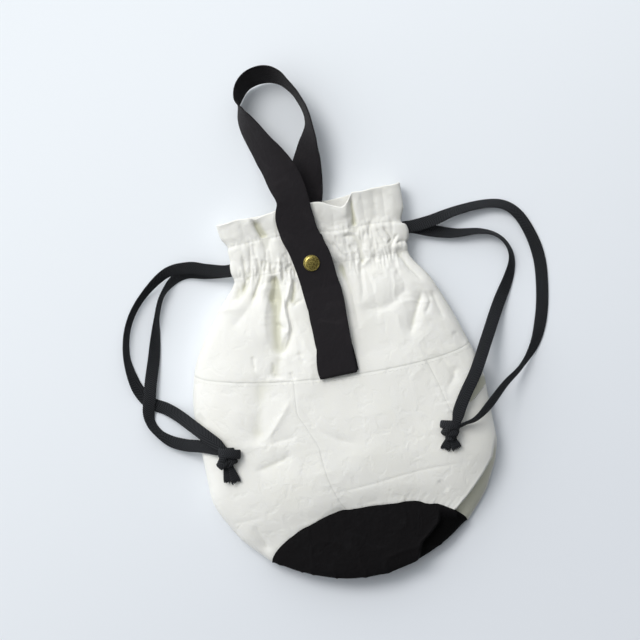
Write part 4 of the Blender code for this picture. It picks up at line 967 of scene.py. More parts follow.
RIGHT_OUTER = [
    (106, 131.5, 11.5, 12),
    (127.5, 135.5, 7.4, 40),
    (152, 136.5, 4.8, 45),
    (169, 132.5, 4.6, 40),
    (180.0, 121.4, 4.0, 30),
    (187.2, 102, 2.4, 18),
    (189.8, 81.7, 1.0, 3),
    (187.4, 59, 1.0, 3),
    (181.4, 34.6, 1.6, 8),
    (171.0, 12.5, 4.0, 38),
    (155, -4.5, 8.5, 66),
    (138.5, -15.6, 17.0, 58),
    (121.5, -29.2, 27.0, 50),
    (108.5, -37.6, 32.6, 64),
    (98.5, -40.0, 35.0, 74),
    (89.5, -41.5, 35.0, 60),
]
RIGHT_INNER = [
    (105, 123.5, 6.0, 10),
    (124, 117.5, 4.6, 40),
    (144.5, 114.8, 4.8, 62),
    (157.5, 109.2, 5.0, 72),
    (165, 99.5, 5.0, 70),
    (166.8, 87.1, 4.6, 60),
    (161, 72, 3.6, 35),
    (147, 50.5, 5.0, 5),
    (132, 26, 15.0, 0),
    (116.4, 1.0, 28.0, 0),
    (104.5, -14.6, 32.6, 0),
    (96.6, -26.2, 34.2, 0),
    (91.6, -36.0, 34.8, 0),
    (88.0, -41.0, 34.6, 0),
]
LEFT_KNOT = (-100.5 * MM, SEAM_Y - 63.5 * MM)
RIGHT_KNOT = (86.5 * MM, SEAM_Y - 78.5 * MM)
KNOT_SIZE = (17 * MM, 14 * MM, 11.5 * MM)
OUT_OF_GAP = 0.6 * MM
HALF_OUT = 0.55  # share of the way out of the gap, and of the rise there and before it
HALF_OUT_RISE = 0.75
FIRST_RISE = 0.07


def strand_route(y_side, exit_side, strand, step):
    """The centre line of a free strand, with its lean at each point. step is 1 for the outer strand."""
    width = eased(HALF_WIDTHS, y_side)
    turn = math.asin(1 - TAPE_TURN / width) * exit_side
    if step > 0:
        end = ring(turn, y_side) - outward(turn, y_side) * TAPE_INSET
    else:
        end = ring(math.pi - turn, y_side) + np.array([0, 0, TAPE_INSET])
    edge = ring(exit_side * QUARTER, y_side)
    height = edge[2] + step * (TAPE_THICKNESS / 2 + CLEAR)
    stations = [
        (end[0] + exit_side * OUT_OF_GAP, end[1], share(end[2], height, FIRST_RISE), 0),
        (share(end[0], edge[0], HALF_OUT), end[1], share(end[2], height, HALF_OUT_RISE), 0),
        (edge[0] + exit_side * FIRST_STEP, end[1], height, 0),
    ]
    stations += [(x * MM, y * MM, z * MM, lean) for x, y, z, lean in strand]
    points = curve_through([s[:3] for s in stations], TAPE_STEP)
    leans = lean_along(stations, points)
    least = half_height(leans) + CLEAR / 2
    points[:, 2] = np.maximum(points[:, 2], least)
    return points, leans


def half_height(leans):
    """How far a drawstring with these leans reaches below its centre line."""
    return TAPE_WIDTH / 2 * np.abs(np.sin(np.radians(leans))) + TAPE_THICKNESS / 2


def lean_along(stations, points):
    """The lean at each point of the curve through stations, eased between them."""
    placed = np.array([s[:3] for s in stations], float)
    places = lengths_along(placed)
    reached = lengths_along(points)
    return eased(list(zip(places, [s[3] for s in stations])), reached * places[-1] / reached[-1])


def all_strands():
    """The name of each free strand, the place where it comes out, its centre line and its leans."""
    for side_name, y_side, exit_side, outer, inner in (
        ("left", LEFT_Y, -1, LEFT_OUTER, LEFT_INNER),
        ("right", RIGHT_Y, 1, RIGHT_OUTER, RIGHT_INNER),
    ):
        for tag, strand, step in (("outer", outer, 1), ("inner", inner, -1)):
            points, leans = strand_route(y_side, exit_side, strand, step)
            yield f"drawstring_{side_name}_{tag}", ring(exit_side * QUARTER, y_side), points, leans


KNOT_TRIES = 3  # places looked at on each side of a knot's middle
EVERY = 5  # one in so many of a strand's points presses on the cloth
BODY_MARGIN = 6 * MM
CORD_GAP = 0.35 * MM
CORD_MARGIN = 0.5 * MM
KNOT_GAP = 0.2 * MM
KNOT_ENDS_RISE = 1.5 * MM


def knot_height(place):
    """The height of a knot's middle when the knot lies on the front."""
    half = [size / 2 for size in KNOT_SIZE]
    highest = 0.0
    tries = range(-KNOT_TRIES, KNOT_TRIES + 1)
    for i, j in itertools.product(tries, tries):
        across, along = i / (KNOT_TRIES + 0.5), j / (KNOT_TRIES + 0.5)
        if across**2 + along**2 < 1:
            surface = front_height(place[0] + across * half[0], place[1] + along * half[1])
            depth = half[2] * math.sqrt(1 - across**2 - along**2)
            highest = max(highest, float(surface) + depth)
    return highest + CLEAR


def resting_places():
    """Where the cords and knots lie on the front: x, y, the height under them and their half width."""
    found = []
    for _, _, points, leans in all_strands():
        bottoms = points[:, 2] - half_height(leans) - CORD_GAP
        half_widths = TAPE_WIDTH / 2 * np.abs(np.cos(np.radians(leans))) + CORD_MARGIN
        over_body = (points[:, 1] < SEAM_Y) & (np.abs(points[:, 0]) < BODY_HALF_WIDTH + BODY_MARGIN)
        rows = np.stack([points[:, 0], points[:, 1], bottoms, half_widths], axis=-1)
        found.extend(rows[::EVERY][over_body[::EVERY]])
    for x, y in (LEFT_KNOT, RIGHT_KNOT):
        bottom = knot_height((x, y)) - KNOT_SIZE[2] / 2 - KNOT_GAP
        found.append((x, y, bottom, KNOT_SIZE[0] / 3))
        found.append((x, y - KNOT_SIZE[1], bottom + KNOT_ENDS_RISE, KNOT_SIZE[0] / 3))
    return found


# Meshes

def mesh_object(name, points, faces, look, **values):
    """A smooth shaded object, with one number a point for each of values."""
    mesh = bpy.data.meshes.new(name)
    faces = faces.tolist() if isinstance(faces, np.ndarray) else faces
    mesh.from_pydata(np.asarray(points).reshape(-1, 3).tolist(), [], faces)
    mesh.materials.append(look)
    mesh.shade_smooth()
    edge_of = np.zeros(len(mesh.loops), np.int32)
    mesh.loops.foreach_get("edge_index", edge_of)
    open_edge = np.bincount(edge_of, minlength=len(mesh.edges)) == 1
    mesh.attributes.new("sharp_edge", "BOOLEAN", "EDGE").data.foreach_set("value", open_edge)
    for tag, numbers in values.items():
        layer = mesh.attributes.new(tag, "FLOAT", "POINT")
        layer.data.foreach_set("value", np.asarray(numbers, np.float32).ravel())
    made = placed_object(name, mesh)
    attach(made, BODY)
    return made


def grid_faces(rows, columns, wrapped=False):
    index = np.arange(rows * columns).reshape(rows, columns)
    if wrapped:
        index = np.concatenate([index, index[:, :1]], axis=1)
    corners = [index[:-1, :-1], index[:-1, 1:], index[1:, 1:], index[1:, :-1]]
    return np.stack(corners, axis=-1).reshape(-1, 4)


def cloth_object(name, grid, look, node, **values):
    """Thin cloth over a grid of points, in place of a solid's node."""
    made = mesh_object(name, grid, grid_faces(*grid.shape[:2]), look, **values)
    solid = made.modifiers.new("Thickness", "SOLIDIFY")
    solid.thickness = THIN
    solid.offset = -1
    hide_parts(node)
    return made


def band_frame(points, across):
    """The way a band runs, the direction of its width and its upper side, at each point."""
    along = directions(points)
    side = unit(across - along * np.sum(across * along, axis=-1, keepdims=True))
    return along, side, np.cross(side, along)


UP = np.array([0.0, 0.0, 1.0])


def leaning(points, leans):
    """A band's width directions: to the right of the way it runs, turned up by lean degrees."""
    right = unit(np.cross(directions(points), UP))
    angle = np.radians(leans)[:, None]
    return right * np.cos(angle) + UP * np.sin(angle)


def swept(name, points, across, section, look):
    """A closed body whose section (across, up) runs along points. section has one outline a point."""
    _, side, up = band_frame(points, across)
    placed = points[:, None] + side[:, None] * section[..., :1] + up[:, None] * section[..., 1:]
    rows, columns = section.shape[:2]
    faces = grid_faces(rows, columns, wrapped=True)
    reached = np.repeat(lengths_along(points)[:, None], columns, axis=1)
    made = mesh_object(name, placed, faces, look, across=section[..., 0], along=reached)
    cap_ends(made)
    return made


def cap_ends(made):
    build = bmesh.new()
    build.from_mesh(made.data)
    bmesh.ops.holes_fill(build, edges=[e for e in build.edges if e.is_boundary])
    bmesh.ops.recalc_face_normals(build, faces=build.faces)
    build.to_mesh(made.data)
    build.free()


def flat_section(width, thickness, around, edge=0.5):
    """An outline of a flat band with round edges. edge is the share of roundness, 1 for an ellipse."""
    turn = np.linspace(0, 2 * math.pi, around, endpoint=False) + math.pi / around
    x, z = np.cos(turn), np.sin(turn)
    return np.stack(
        [np.sign(x) * np.abs(x) ** edge * width / 2, np.sign(z) * np.abs(z) ** edge * thickness / 2],
        axis=-1,
    )


# Finishes

class Nodes:
    """Short ways to add nodes to a tree. Each value is a number, a colour or another node's output."""

    def __init__(self, tree):
        self.nodes, self.links = tree.nodes, tree.links

    def put(self, socket, value):
        if isinstance(value, bpy.types.NodeSocket):
            self.links.new(value, socket)
        else:
            socket.default_value = (*value, 1) if socket.type == "RGBA" else value

    def add(self, kind, values, **settings):
        """A node with values in its inputs, which are given by name or in their order."""
        made = self.nodes.new("ShaderNode" + kind)
        for name, setting in settings.items():
            setattr(made, name, setting)
        for key, value in values.items() if isinstance(values, dict) else enumerate(values):
            self.put(made.inputs[key], value)
        return made

    def place(self):
        """The coordinates of a point on the object, in metres."""
        found = self.nodes.get("Places") or self.add("TexCoord", {}, name="Places")
        return found.outputs["Object"]

    def attribute(self, tag):
        return self.add("Attribute", {}, attribute_name=tag).outputs["Fac"]

    def noise(self, scale, detail=2.0, distortion=0.0):
        values = {"Vector": self.place(), "Scale": scale, "Detail": detail, "Distortion": distortion}
        return self.add("TexNoise", values).outputs["Fac"]

    def maths(self, operation, *values):
        return self.add("Math", values, operation=operation).outputs[0]

    def towards(self, place, direction):
        """How far a place lies in a direction."""
        return self.add("VectorMath", (place, direction), operation="DOT_PRODUCT").outputs["Value"]

    def fitted(self, value, low, high, to_low=0.0, to_high=1.0):
        """to_low at low, to_high at high, and eased between them."""
        values = (value, low, high, to_low, to_high)
        return self.add("MapRange", values, interpolation_type="SMOOTHSTEP").outputs[0]

    def mixed(self, part, first, second):
        made = self.add("Mix", (part,), data_type="RGBA")
        self.put(made.inputs[6], first)
        self.put(made.inputs[7], second)
        return made.outputs[2]

    def stripes(self, value, per_metre):
        """A smooth wave from -1 to 1 along value, which is in metres."""
        return self.maths("SINE", self.maths("MULTIPLY", value, 2 * math.pi * per_metre))


class Look(Nodes):
    """A material, with ways to set its shader."""

    def __init__(self, name, **values):
        self.material = bpy.data.materials.new(name)
        self.material.use_nodes = True
        super().__init__(self.material.node_tree)
        self.set(**values)

    def set(self, **values):
        """Sets inputs of the shader, with _ for the spaces in their names."""
        for name, value in values.items():
            self.put(self.nodes["Principled BSDF"].inputs[name.replace("_", " ")], value)

    def bumped(self, height, distance):
        values = {"Height": height, "Distance": distance, "Strength": 1.0}
        self.set(Normal=self.add("Bump", values).outputs[0])


WHITE = (0.84, 0.825, 0.775)
WHITE_WARM = (0.82, 0.80, 0.725)
# the colour of the painted shade in the white cloth's folds, frill and right corner
FOLD_PAINTED_SHADE = (0.60, 0.59, 0.47)
SEAM_TINT = (0.50, 0.50, 0.46)
BLACK = (0.0155, 0.0135, 0.0155)
BLACK_WORN = (0.024, 0.021, 0.023)
CANVAS_BLACK = (0.0062, 0.0056, 0.0062)
CANVAS_WORN = (0.0085, 0.008, 0.009)
# the colour of the painted shade in the base's recess
RECESS_PAINTED_SHADE = (0.0015, 0.0015, 0.0015)
CORD_BLACK = (0.0045, 0.005, 0.006)
# the colour of the painted highlight on the braid's rib crests
CORD_RIB_HIGHLIGHT = (0.052, 0.055, 0.062)
BRASS = (0.50, 0.42, 0.13)
BRASS_AGED = (0.17, 0.125, 0.045)
FLOOR_NEAR = (0.89, 0.92, 0.955)
FLOOR_FAR = (0.725, 0.745, 0.785)
FLOOR_PAINTED_FALLOFF = (0.387, -0.922, 0)  # the way in which the floor gets darker, a painted falloff of the window's light
BACKGROUND = (0.83, 0.87, 0.92)
THREAD = (0.82, 0.81, 0.76)
DARK_THREAD_COLOUR = (0.05, 0.05, 0.04)


SEAM_TONE = 0.42  # how much of the seams' tint shows


def white_cloth():
    look = Look("white_cloth", Specular_IOR_Level=0.35, Sheen_Weight=0.08)
    look.set(Subsurface_Weight=0.12, Subsurface_Radius=(1.0, 0.95, 0.75), Subsurface_Scale=1.5 * MM)
    patches = look.fitted(look.noise(scale=24, detail=3), 0.45, 0.75, to_high=0.35)
    colour = look.mixed(patches, WHITE, WHITE_WARM)
    # Painted shade: deep in folds, over the frill and at the right corner the cloth is mixed towards the
    # fold shade colour
    deep = look.fitted(look.attribute("crease"), 0.22, 0.95, to_high=0.9)
    colour = look.mixed(deep, colour, FOLD_PAINTED_SHADE)
    line = look.maths("MULTIPLY", look.attribute("seam"), SEAM_TONE)
    look.set(Base_Color=look.mixed(line, colour, SEAM_TINT))
    look.set(Roughness=look.fitted(look.noise(scale=90, detail=3), 0.3, 0.7, 0.52, 0.72))
    crinkles = look.noise(scale=95, detail=3, distortion=0.5)
    ridges = look.maths("ABSOLUTE", look.maths("SUBTRACT", crinkles, 0.5))
    height = look.maths("ADD", look.maths("MULTIPLY", ridges, -1.2), crinkles)
    weave = look.noise(scale=2600, detail=1)
    look.bumped(look.maths("MULTIPLY_ADD", weave, 0.06, height), distance=0.5 * MM)
    return look.material


def black_twill():
    look = Look("black_twill", Roughness=0.8, Specular_IOR_Level=0.12)
    look.set(Sheen_Weight=0.05, Sheen_Roughness=0.5)
    worn = look.fitted(look.noise(scale=60, detail=5, distortion=1.0), 0.5, 0.8, to_high=0.6)
    look.set(Base_Color=look.mixed(worn, BLACK, BLACK_WORN))
    diagonal = look.maths("ADD", look.attribute("across"), look.attribute("along"))
    twill = look.stripes(diagonal, per_metre=1100)
    crinkles = look.noise(scale=150, detail=4, distortion=1.2)
    look.bumped(look.maths("MULTIPLY_ADD", twill, 0.10, crinkles), distance=0.7 * MM)
    return look.material


def black_canvas():
    """The base's cloth: the same black, with a plain weave, and painted shade in its recess."""
    look = Look("black_canvas", Roughness=0.82, Specular_IOR_Level=0.1)
    worn = look.fitted(look.noise(scale=75, detail=5, distortion=1.6), 0.52, 0.75, to_high=0.75)
    cloth = look.mixed(worn, CANVAS_BLACK, CANVAS_WORN)
    # Painted shade: the recess beyond the base's crease is mixed towards a near black
    look.set(Base_Color=look.mixed(look.attribute("recess"), cloth, RECESS_PAINTED_SHADE))
    crinkles = look.noise(scale=120, detail=5, distortion=1.8)
    weave = look.noise(scale=1900, detail=1)
    look.bumped(look.maths("MULTIPLY_ADD", weave, 0.12, crinkles), distance=0.8 * MM)
    return look.material


def black_braid():
    look = Look("black_braid", Roughness=0.75, Specular_IOR_Level=0.2)
    across = look.maths("ABSOLUTE", look.attribute("across"))
    chevron = look.maths("MULTIPLY_ADD", across, CHEVRON, look.attribute("along"))
    ribs = look.stripes(chevron, per_metre=1 / RIB_PITCH)
    lines = look.stripes(look.attribute("across"), per_metre=950)
    # Painted highlight: the ribs' crests are mixed towards a lighter grey
    lit = look.fitted(ribs, -0.6, 1.0, to_high=0.75)
    look.set(Base_Color=look.mixed(lit, CORD_BLACK, CORD_RIB_HIGHLIGHT))
    look.bumped(look.maths("MULTIPLY_ADD", lines, 0.35, ribs), distance=0.22 * MM)
    return look.material


def aged_brass():
    look = Look("aged_brass", Metallic=1.0)
    aged = look.fitted(look.noise(scale=330, detail=5, distortion=0.6), 0.42, 0.8, to_high=0.8)
    look.set(Base_Color=look.mixed(aged, BRASS, BRASS_AGED))
    look.set(Roughness=look.fitted(look.noise(scale=900, detail=3), 0.3, 0.7, 0.2, 0.42))
    look.bumped(look.noise(scale=1500), distance=0.02 * MM)
    return look.material


def thread_material(name, colour):
    look = Look(name, Roughness=0.7)
    darker = tuple(0.8 * part for part in colour)
    look.set(Base_Color=look.mixed(look.noise(scale=700), colour, darker))
    return look.material


def floor_material():
    look = Look("floor", Roughness=0.9, Specular_IOR_Level=0.1)
    along = look.towards(look.place(), FLOOR_PAINTED_FALLOFF)
    uneven = look.maths("MULTIPLY_ADD", look.noise(scale=4), 0.05, along)
    # Painted light falloff: the floor goes from its near colour to its far one, with a little uneven noise
    look.set(Base_Color=look.mixed(look.fitted(uneven, -0.42, 0.40), FLOOR_NEAR, FLOOR_FAR))
    return look.material


# Camera, light and floor

PIXEL = 0.84 * MM  # of the photograph, at the height of the cloth
VIEW_WIDTH = 640 * PIXEL
VIEW_CENTRE = (-2.5 * MM, 69.2 * MM)
VIEW_ROLL = math.radians(-12)
VIEW_PLANE_Z = 16 * MM
LENS = 135
SENSOR = 36
FARTHEST = 20


def placed_object(name, data, place=(0, 0, 0), turn=(0, 0, 0)):
    made = bpy.data.objects.new(name, data)
    bpy.context.scene.collection.objects.link(made)
    made.location, made.rotation_euler = place, turn
    return made


def camera():
    bpy.context.scene.view_settings.view_transform = "Standard"
    data = bpy.data.cameras.new("camera")
    data.lens = LENS
    data.sensor_width = SENSOR
    data.clip_end = FARTHEST
    place = (*VIEW_CENTRE, VIEW_PLANE_Z + VIEW_WIDTH * LENS / SENSOR)
    bpy.context.scene.camera = placed_object("camera", data, place, (0, 0, VIEW_ROLL))


LIGHT_FROM = (-2.83, 4.32, 6.10)  # the photograph's upper left, in this frame's turn
LIGHT_SIZE = 3.6
LIGHT_POWER = 285
LIGHT_COLOUR = (1.0, 0.985, 0.96)
ROOM_COLOUR = (0.93, 0.97, 1.0)
ROOM_BRIGHT = (-0.51, 0.76, 0.40)  # where the room is brightest, beside the window
ROOM_STRENGTHS = (-0.32, 1.0, 0.02, 1.40)  # darkest and brightest places, and how bright they are
MIRRORED_FROM = (-0.55, 0.45, -0.85)  # polished metal shows the room bright low down, dark overhead
MIRRORED_STRENGTHS = (-0.72, 0.6, 0.16, 1.8)


def light():
    data = bpy.data.lights.new("window", "AREA")
    data.shape = "DISK"
    data.size = LIGHT_SIZE
    data.energy = LIGHT_POWER
    data.color = LIGHT_COLOUR
    turn = (-Vector(LIGHT_FROM)).to_track_quat("-Z", "Y").to_euler()
    placed_object("window", data, LIGHT_FROM, turn)

    world = bpy.data.worlds.new("world")
    bpy.context.scene.world = world
    world.use_nodes = True
    room = Nodes(world.node_tree)
    sky = room.add("TexCoord", {}).outputs["Generated"]
    bright = room.towards(sky, Vector(ROOM_BRIGHT).normalized())
    shown = room.nodes["Background"]
    room.put(shown.inputs["Color"], ROOM_COLOUR)
    room.put(shown.inputs["Strength"], room.fitted(bright, *ROOM_STRENGTHS))
    low = room.towards(sky, Vector(MIRRORED_FROM).normalized())
    mirrored = room.add("Background", {"Strength": room.fitted(low, *MIRRORED_STRENGTHS)})
    seen = room.add("Background", {"Color": BACKGROUND})
    rays = room.add("LightPath", {})
    plain = room.maths("MAXIMUM", rays.outputs["Is Camera Ray"], rays.outputs["Is Transmission Ray"])
    for part, other in ((rays.outputs["Is Glossy Ray"], mirrored), (plain, seen)):
        shown = room.add("MixShader", (part, shown.outputs[0], other.outputs[0]))
    room.put(room.nodes["World Output"].inputs["Surface"], shown.outputs[0])


FLOOR_HALF = 6.0


def floor():
    mesh = bpy.data.meshes.new("floor")
    corners = [(x * FLOOR_HALF, y * FLOOR_HALF, 0) for x, y in ((-1, -1), (1, -1), (1, 1), (-1, 1))]
    mesh.from_pydata(corners, [], [(0, 1, 2, 3)])
    mesh.materials.append(floor_material())
    placed_object("floor", mesh)


# Drawstrings

TAPE_AROUND = 16
TAPE_ROUNDNESS = 0.62
SERRATION = 0.16 * MM
RIB_HEIGHT = 0.14  # as a share of the drawstring's thickness
TIED_REACH = (13 * MM, 2 * MM)  # before its knot a strand is drawn together over this length
TIED_WIDTH = -0.36
TIED_THICKNESS = 0.8


def along_route(outline, points):
    """The same outline or direction at every point of a route."""
    return np.repeat(np.asarray(outline)[None], len(points), axis=0)


def rib_wave(points, section):
    """The braid's ribs round a section, from -1 to 1."""
    reached = lengths_along(points)[:, None]
    return np.cos(2 * math.pi * (reached + CHEVRON * np.abs(section[..., 0])) / RIB_PITCH)


def tape_section(points):
    """A drawstring's outline at each point, with the braid's ribs in its edges and faces."""
    outline = flat_section(TAPE_WIDTH, TAPE_THICKNESS, TAPE_AROUND, TAPE_ROUNDNESS)
    part = np.abs(outline[:, 0]) / (TAPE_WIDTH / 2)
    section = along_route(outline, points)
    ribs = rib_wave(points, section)
    section[..., 0] *= 1 + ribs * part**4 * SERRATION / (TAPE_WIDTH / 2)
    section[..., 1] *= 1 + ribs * RIB_HEIGHT * (1 - part**2)
    reached = lengths_along(points)[:, None]
    tied = smooth(*TIED_REACH, reached[-1] - reached)
    section[..., 0] *= 1 + TIED_WIDTH * tied
    section[..., 1] *= 1 + TIED_THICKNESS * tied
    return section


def strands(look):
    for name, hole, points, leans in all_strands():
        cord = swept(name, points, leaning(points, leans), tape_section(points), look)
        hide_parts(f"{name}_strand")
        tuple(hole)
        float(lengths_along(points)[-1])


# Knots: turns of cord round the doubled cord, and the two frayed ends beyond them. Millimetres from
# the knot's middle: the turn's middle, the way its axis points, its half width and half height, how
# many times it goes round, how far it gets along its axis, the angle it starts at and the cord's size

KNOT_TURNS = {
    "left": [
        ((1.2, 3.6, 0.1), (-0.22, -0.97, 0.05), (8.2, 4.6), 1.3, 2.4, 200, (7.6, 2.8)),
        ((-3.8, 2.2, -0.2), (0.80, -0.60, 0), (6.2, 4.6), 1.2, 2.0, 160, (5.6, 2.6)),
        ((-4.8, -2.6, -0.9), (0.55, -0.83, 0), (5.4, 4.0), 1.4, 2.6, 120, (6.8, 2.6)),
        ((0.8, -3.6, -1.2), (0.20, -0.98, 0), (4.6, 3.6), 1.3, 2.0, 20, (5.6, 2.4)),
    ],
    "right": [
        ((-1.6, 3.6, -0.1), (-0.30, -0.95, 0.1), (7.0, 4.5), 1.3, 2.4, 200, (6.2, 2.8)),
        ((-3.6, 1.6, 0.0), (0.62, -0.78, 0), (5.8, 4.6), 1.2, 2.2, 150, (5.2, 2.7)),
        ((-1.4, -2.0, -0.3), (-0.12, -0.99, 0), (5.3, 4.1), 1.3, 2.6, 100, (5.6, 2.6)),
        ((-2.7, -6.4, -1.2), (-0.20, -0.98, 0), (3.7, 3.0), 1.3, 1.6, 60, (4.2, 2.2)),
    ],
}
KNOT_ENDS = {  # start, end and width of each loose end
    "left": [
        ((-4.2, -5.0, -2.2), (-4.6, -19.2, -3.6), 8.0),
        ((-0.6, -5.5, -1.2), (1.6, -20.6, -2.8), 8.2),
    ],
    "right": [
        ((-3.8, -5.5, -1.8), (-8.9, -14.4, -3.2), 8.4),
        ((-1.8, -5.5, -1.0), (0.2, -15.8, -2.6), 8.8),
    ],
}
TURN_POINTS = 100  # for one time round
TURN_AROUND = 22
TURN_ROUNDNESS = 0.8
TURN_TUCKED = (0.16, 0.35)  # a turn's ends: the share of its length, and how wide it goes round there
TURN_NARROWED = (0.1, 0.8)  # and the same for the cord's size
CORD_RIBS = 0.05


def ribbed(section, points):
    return section * (1 + CORD_RIBS * rib_wave(points, section)[..., None])


def joined(name, parts, node, look):
    """One object made from several swept parts, in place of a solid's node."""
    build = bmesh.new()
    for part in parts:
        build.from_mesh(part.data)
        mesh = part.data
        bpy.data.objects.remove(part)
        bpy.data.meshes.remove(mesh)
    made = mesh_object(name, [], [], look)
    build.to_mesh(made.data)
    build.free()
    made.data.shade_smooth()
    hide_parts(node)


def both_ends(t, reach, least):
    """1 along t, which runs from 0 to 1, and least at both of its ends."""
    return share(least, 1, smooth(0, reach, t) * smooth(0, reach, 1 - t))


def knot_turn(name, centre, turn, look):
    """One length of cord that goes round in a knot."""
    middle, axis, (wide, high), times, advance, first, (width, thickness) = turn
    axis = unit(np.array(axis, float))
    t = np.linspace(0, 1, round(TURN_POINTS * times))
    angle = (np.radians(first) + 2 * math.pi * times * t)[:, None]
    spread = np.cos(angle) * unit(np.cross(axis, UP)) * wide + np.sin(angle) * UP * high
    spread = both_ends(t, *TURN_TUCKED)[:, None] * spread
    points = centre + (np.array(middle) + axis * (advance * (t - 0.5))[:, None] + spread) * MM
    outline = flat_section(width * MM, thickness * MM, TURN_AROUND, TURN_ROUNDNESS)
    section = along_route(outline, points) * both_ends(t, *TURN_NARROWED)[:, None, None]
    return swept(name, points, along_route(axis, points), ribbed(section, points), look)


def knots(look):
    for side_name, place in (("left", LEFT_KNOT), ("right", RIGHT_KNOT)):
        centre = np.array([*place, knot_height(place)])
        turns = enumerate(KNOT_TURNS[side_name])
        parts = [knot_turn(f"turn_{number}", centre, turn, look) for number, turn in turns]
        joined(f"knot_{side_name}", parts, f"drawstring_{side_name}_knot", look)
        for number, (start, end, width) in enumerate(KNOT_ENDS[side_name], 1):
            ends = [centre + np.array(start) * MM, centre + np.array(end) * MM]
            frayed_end(f"drawstring_{side_name}_end_{number}", ends, width * MM, look, number)


END_THICKNESS = 1.7 * MM
END_ROWS = 26
END_AROUND = 20
END_ROUNDNESS = 0.7
END_TILT = (0.15, 0.1, 1)
END_START = 0.55  # its width at the knot, as a share
CUT_ROWS = 2  # rows at the cut that are thinner
CUT_THICKNESS = 0.7
FRAY_SEED = 100
FRAY_LENGTH = 3.0 * MM
FRAY_THREADS = 110
FRAY_TUFTS = 6
FRAY_RADIUS = 0.2 * MM
FRAY_AROUND = 4
TUFT_LENGTHS = (0.45, 1.0)
THREAD_LENGTHS = (0.75, 1.0)
ROOT_INSIDE = 0.8 * MM
ROOT_WIDTH = 0.98  # the roots' spread, as a share of the end's width
ROOT_HEIGHTS = (-0.6, 0.6)  # millimetres, as the next two are
TIP_SIDES = (-0.3, 0.3)
TIP_HEIGHTS = (-0.8, 0.9)
TIP_GATHERED = 0.6  # how far the tips of one tuft come together


def frayed_end(node, ends, width, look, seed):
    """A short end of flat cord beyond the knot, with its threads coming apart."""
    way = unit(ends[1] - ends[0])
    part = np.linspace(0, 1, END_ROWS)
    body = share(ends[0], ends[1], part[:, None])
    side = unit(np.cross(way, END_TILT))
    section = along_route(flat_section(width, END_THICKNESS, END_AROUND, END_ROUNDNESS), body)
    section[..., 0] *= share(END_START, 1.0, smooth(0, 1, part))[:, None]
    section[-CUT_ROWS:, :, 1] *= CUT_THICKNESS
    name = node.replace("drawstring_", "cord_")
    parts = [swept(name + "_flat", body, along_route(side, body), ribbed(section, body), look)]
    draw = np.random.default_rng(FRAY_SEED + seed + int(abs(ends[0][0]) / MM))
    fibres, faces = [], []
    tuft_lengths = draw.uniform(*TUFT_LENGTHS, FRAY_TUFTS)
    for _ in range(FRAY_THREADS):
        place = draw.uniform(0, 1)
        tuft = int(place * FRAY_TUFTS)
        root = body[-1] + side * (place - 0.5) * ROOT_WIDTH * width - way * ROOT_INSIDE
        root = root + UP * draw.uniform(*ROOT_HEIGHTS) * MM
        tip = root + way * draw.uniform(*THREAD_LENGTHS) * tuft_lengths[tuft] * FRAY_LENGTH
        gathered = ((tuft + 0.5) / FRAY_TUFTS - place) * width
        tip = tip + side * (TIP_GATHERED * gathered + draw.uniform(*TIP_SIDES) * MM)
        tip = tip + UP * draw.uniform(*TIP_HEIGHTS) * MM
        add_thread(fibres, faces, [root, share(root, tip, 0.5), tip], FRAY_RADIUS, FRAY_AROUND, True)
    flat = np.zeros(len(fibres))
    parts.append(mesh_object(name + "_fray", np.array(fibres), faces, look, across=flat, along=flat))
    joined(name, parts, node, look)


THREAD_SIDE = np.array([0.1, 0.3, 0.2])  # keeps a thread's sides apart from the way it runs
BLUNT = 0.6  # a thread's radius at its ends, and at a pointed end, as shares
POINTED = 0.25


def add_thread(points, faces, line, radius, around=6, pointed=False):
    """Adds a thin round thread along a short line to lists of points and faces."""
    line = np.array(line)
    way = directions(line)
    side = unit(np.cross(way, way[:, [1, 2, 0]] + THREAD_SIDE))
    up = np.cross(way, side)
    first, last = len(points), len(points) + (len(line) - 1) * around
    turn = np.linspace(0, 2 * math.pi, around, endpoint=False)[:, None]
    radii = np.full(len(line), radius)
    radii[0] *= BLUNT
    radii[-1] *= POINTED if pointed else BLUNT
    for centre, wide, to_side, to_top in zip(line, radii, side, up):
        points.extend((centre + wide * (np.cos(turn) * to_side + np.sin(turn) * to_top)).tolist())
    faces.extend((first + grid_faces(len(line), around, wrapped=True)).tolist())
    faces.append([first + k for k in reversed(range(around))])
    faces.append([last + k for k in range(around)])


# The walls

# Painted shade in the white cloth is full at this depth of fold
CREASE_DEPTH = 3.6 * MM
# Painted shade over the frill and inside its hem, which lie doubled and get less light; it eases in over
# the reach above the frill's seam
FRILL_SHADE = 0.16
FRILL_SHADE_REACH = 5 * MM
SEAM_LINE = 0.5 * MM
ROW_LINE = 0.6  # how plainly the channel's rows of stitches show, where the seams are 1


def line_at(distance):
    return np.exp(-((distance / SEAM_LINE) ** 2))


def wall_grid(angles, rows):
    """Points of the cloth, the painted shade each gets from how deep it lies in a fold, on the frill and at
    the right corner, and how near a seam it is, from 0 to 1.
    """
    points, base = wall(angles, rows), ring(angles, rows)
    depth = np.sum((points - base) * outward(angles, rows), axis=-1)
    crease = np.maximum(np.clip(-depth / CREASE_DEPTH, 0, 1), painted_shade_patch(points))
    crease = np.maximum(crease, FRILL_SHADE * smooth(FRILL_Y, FRILL_Y + FRILL_SHADE_REACH, rows))
    seam = line_at(rows - SEAM_Y) + 0 * angles
    for row in (CHANNEL_Y, FRILL_Y):
        seam = np.maximum(seam, ROW_LINE * line_at(rows - row))
    for name in SEAM_PLACES:
        line = line_at(beside_seam(name, angles, rows)) * seam_shown(name, rows)
        seam = np.maximum(seam, (rows < SEAM_Y) * line)
    return points, {"crease": crease, "seam": seam}


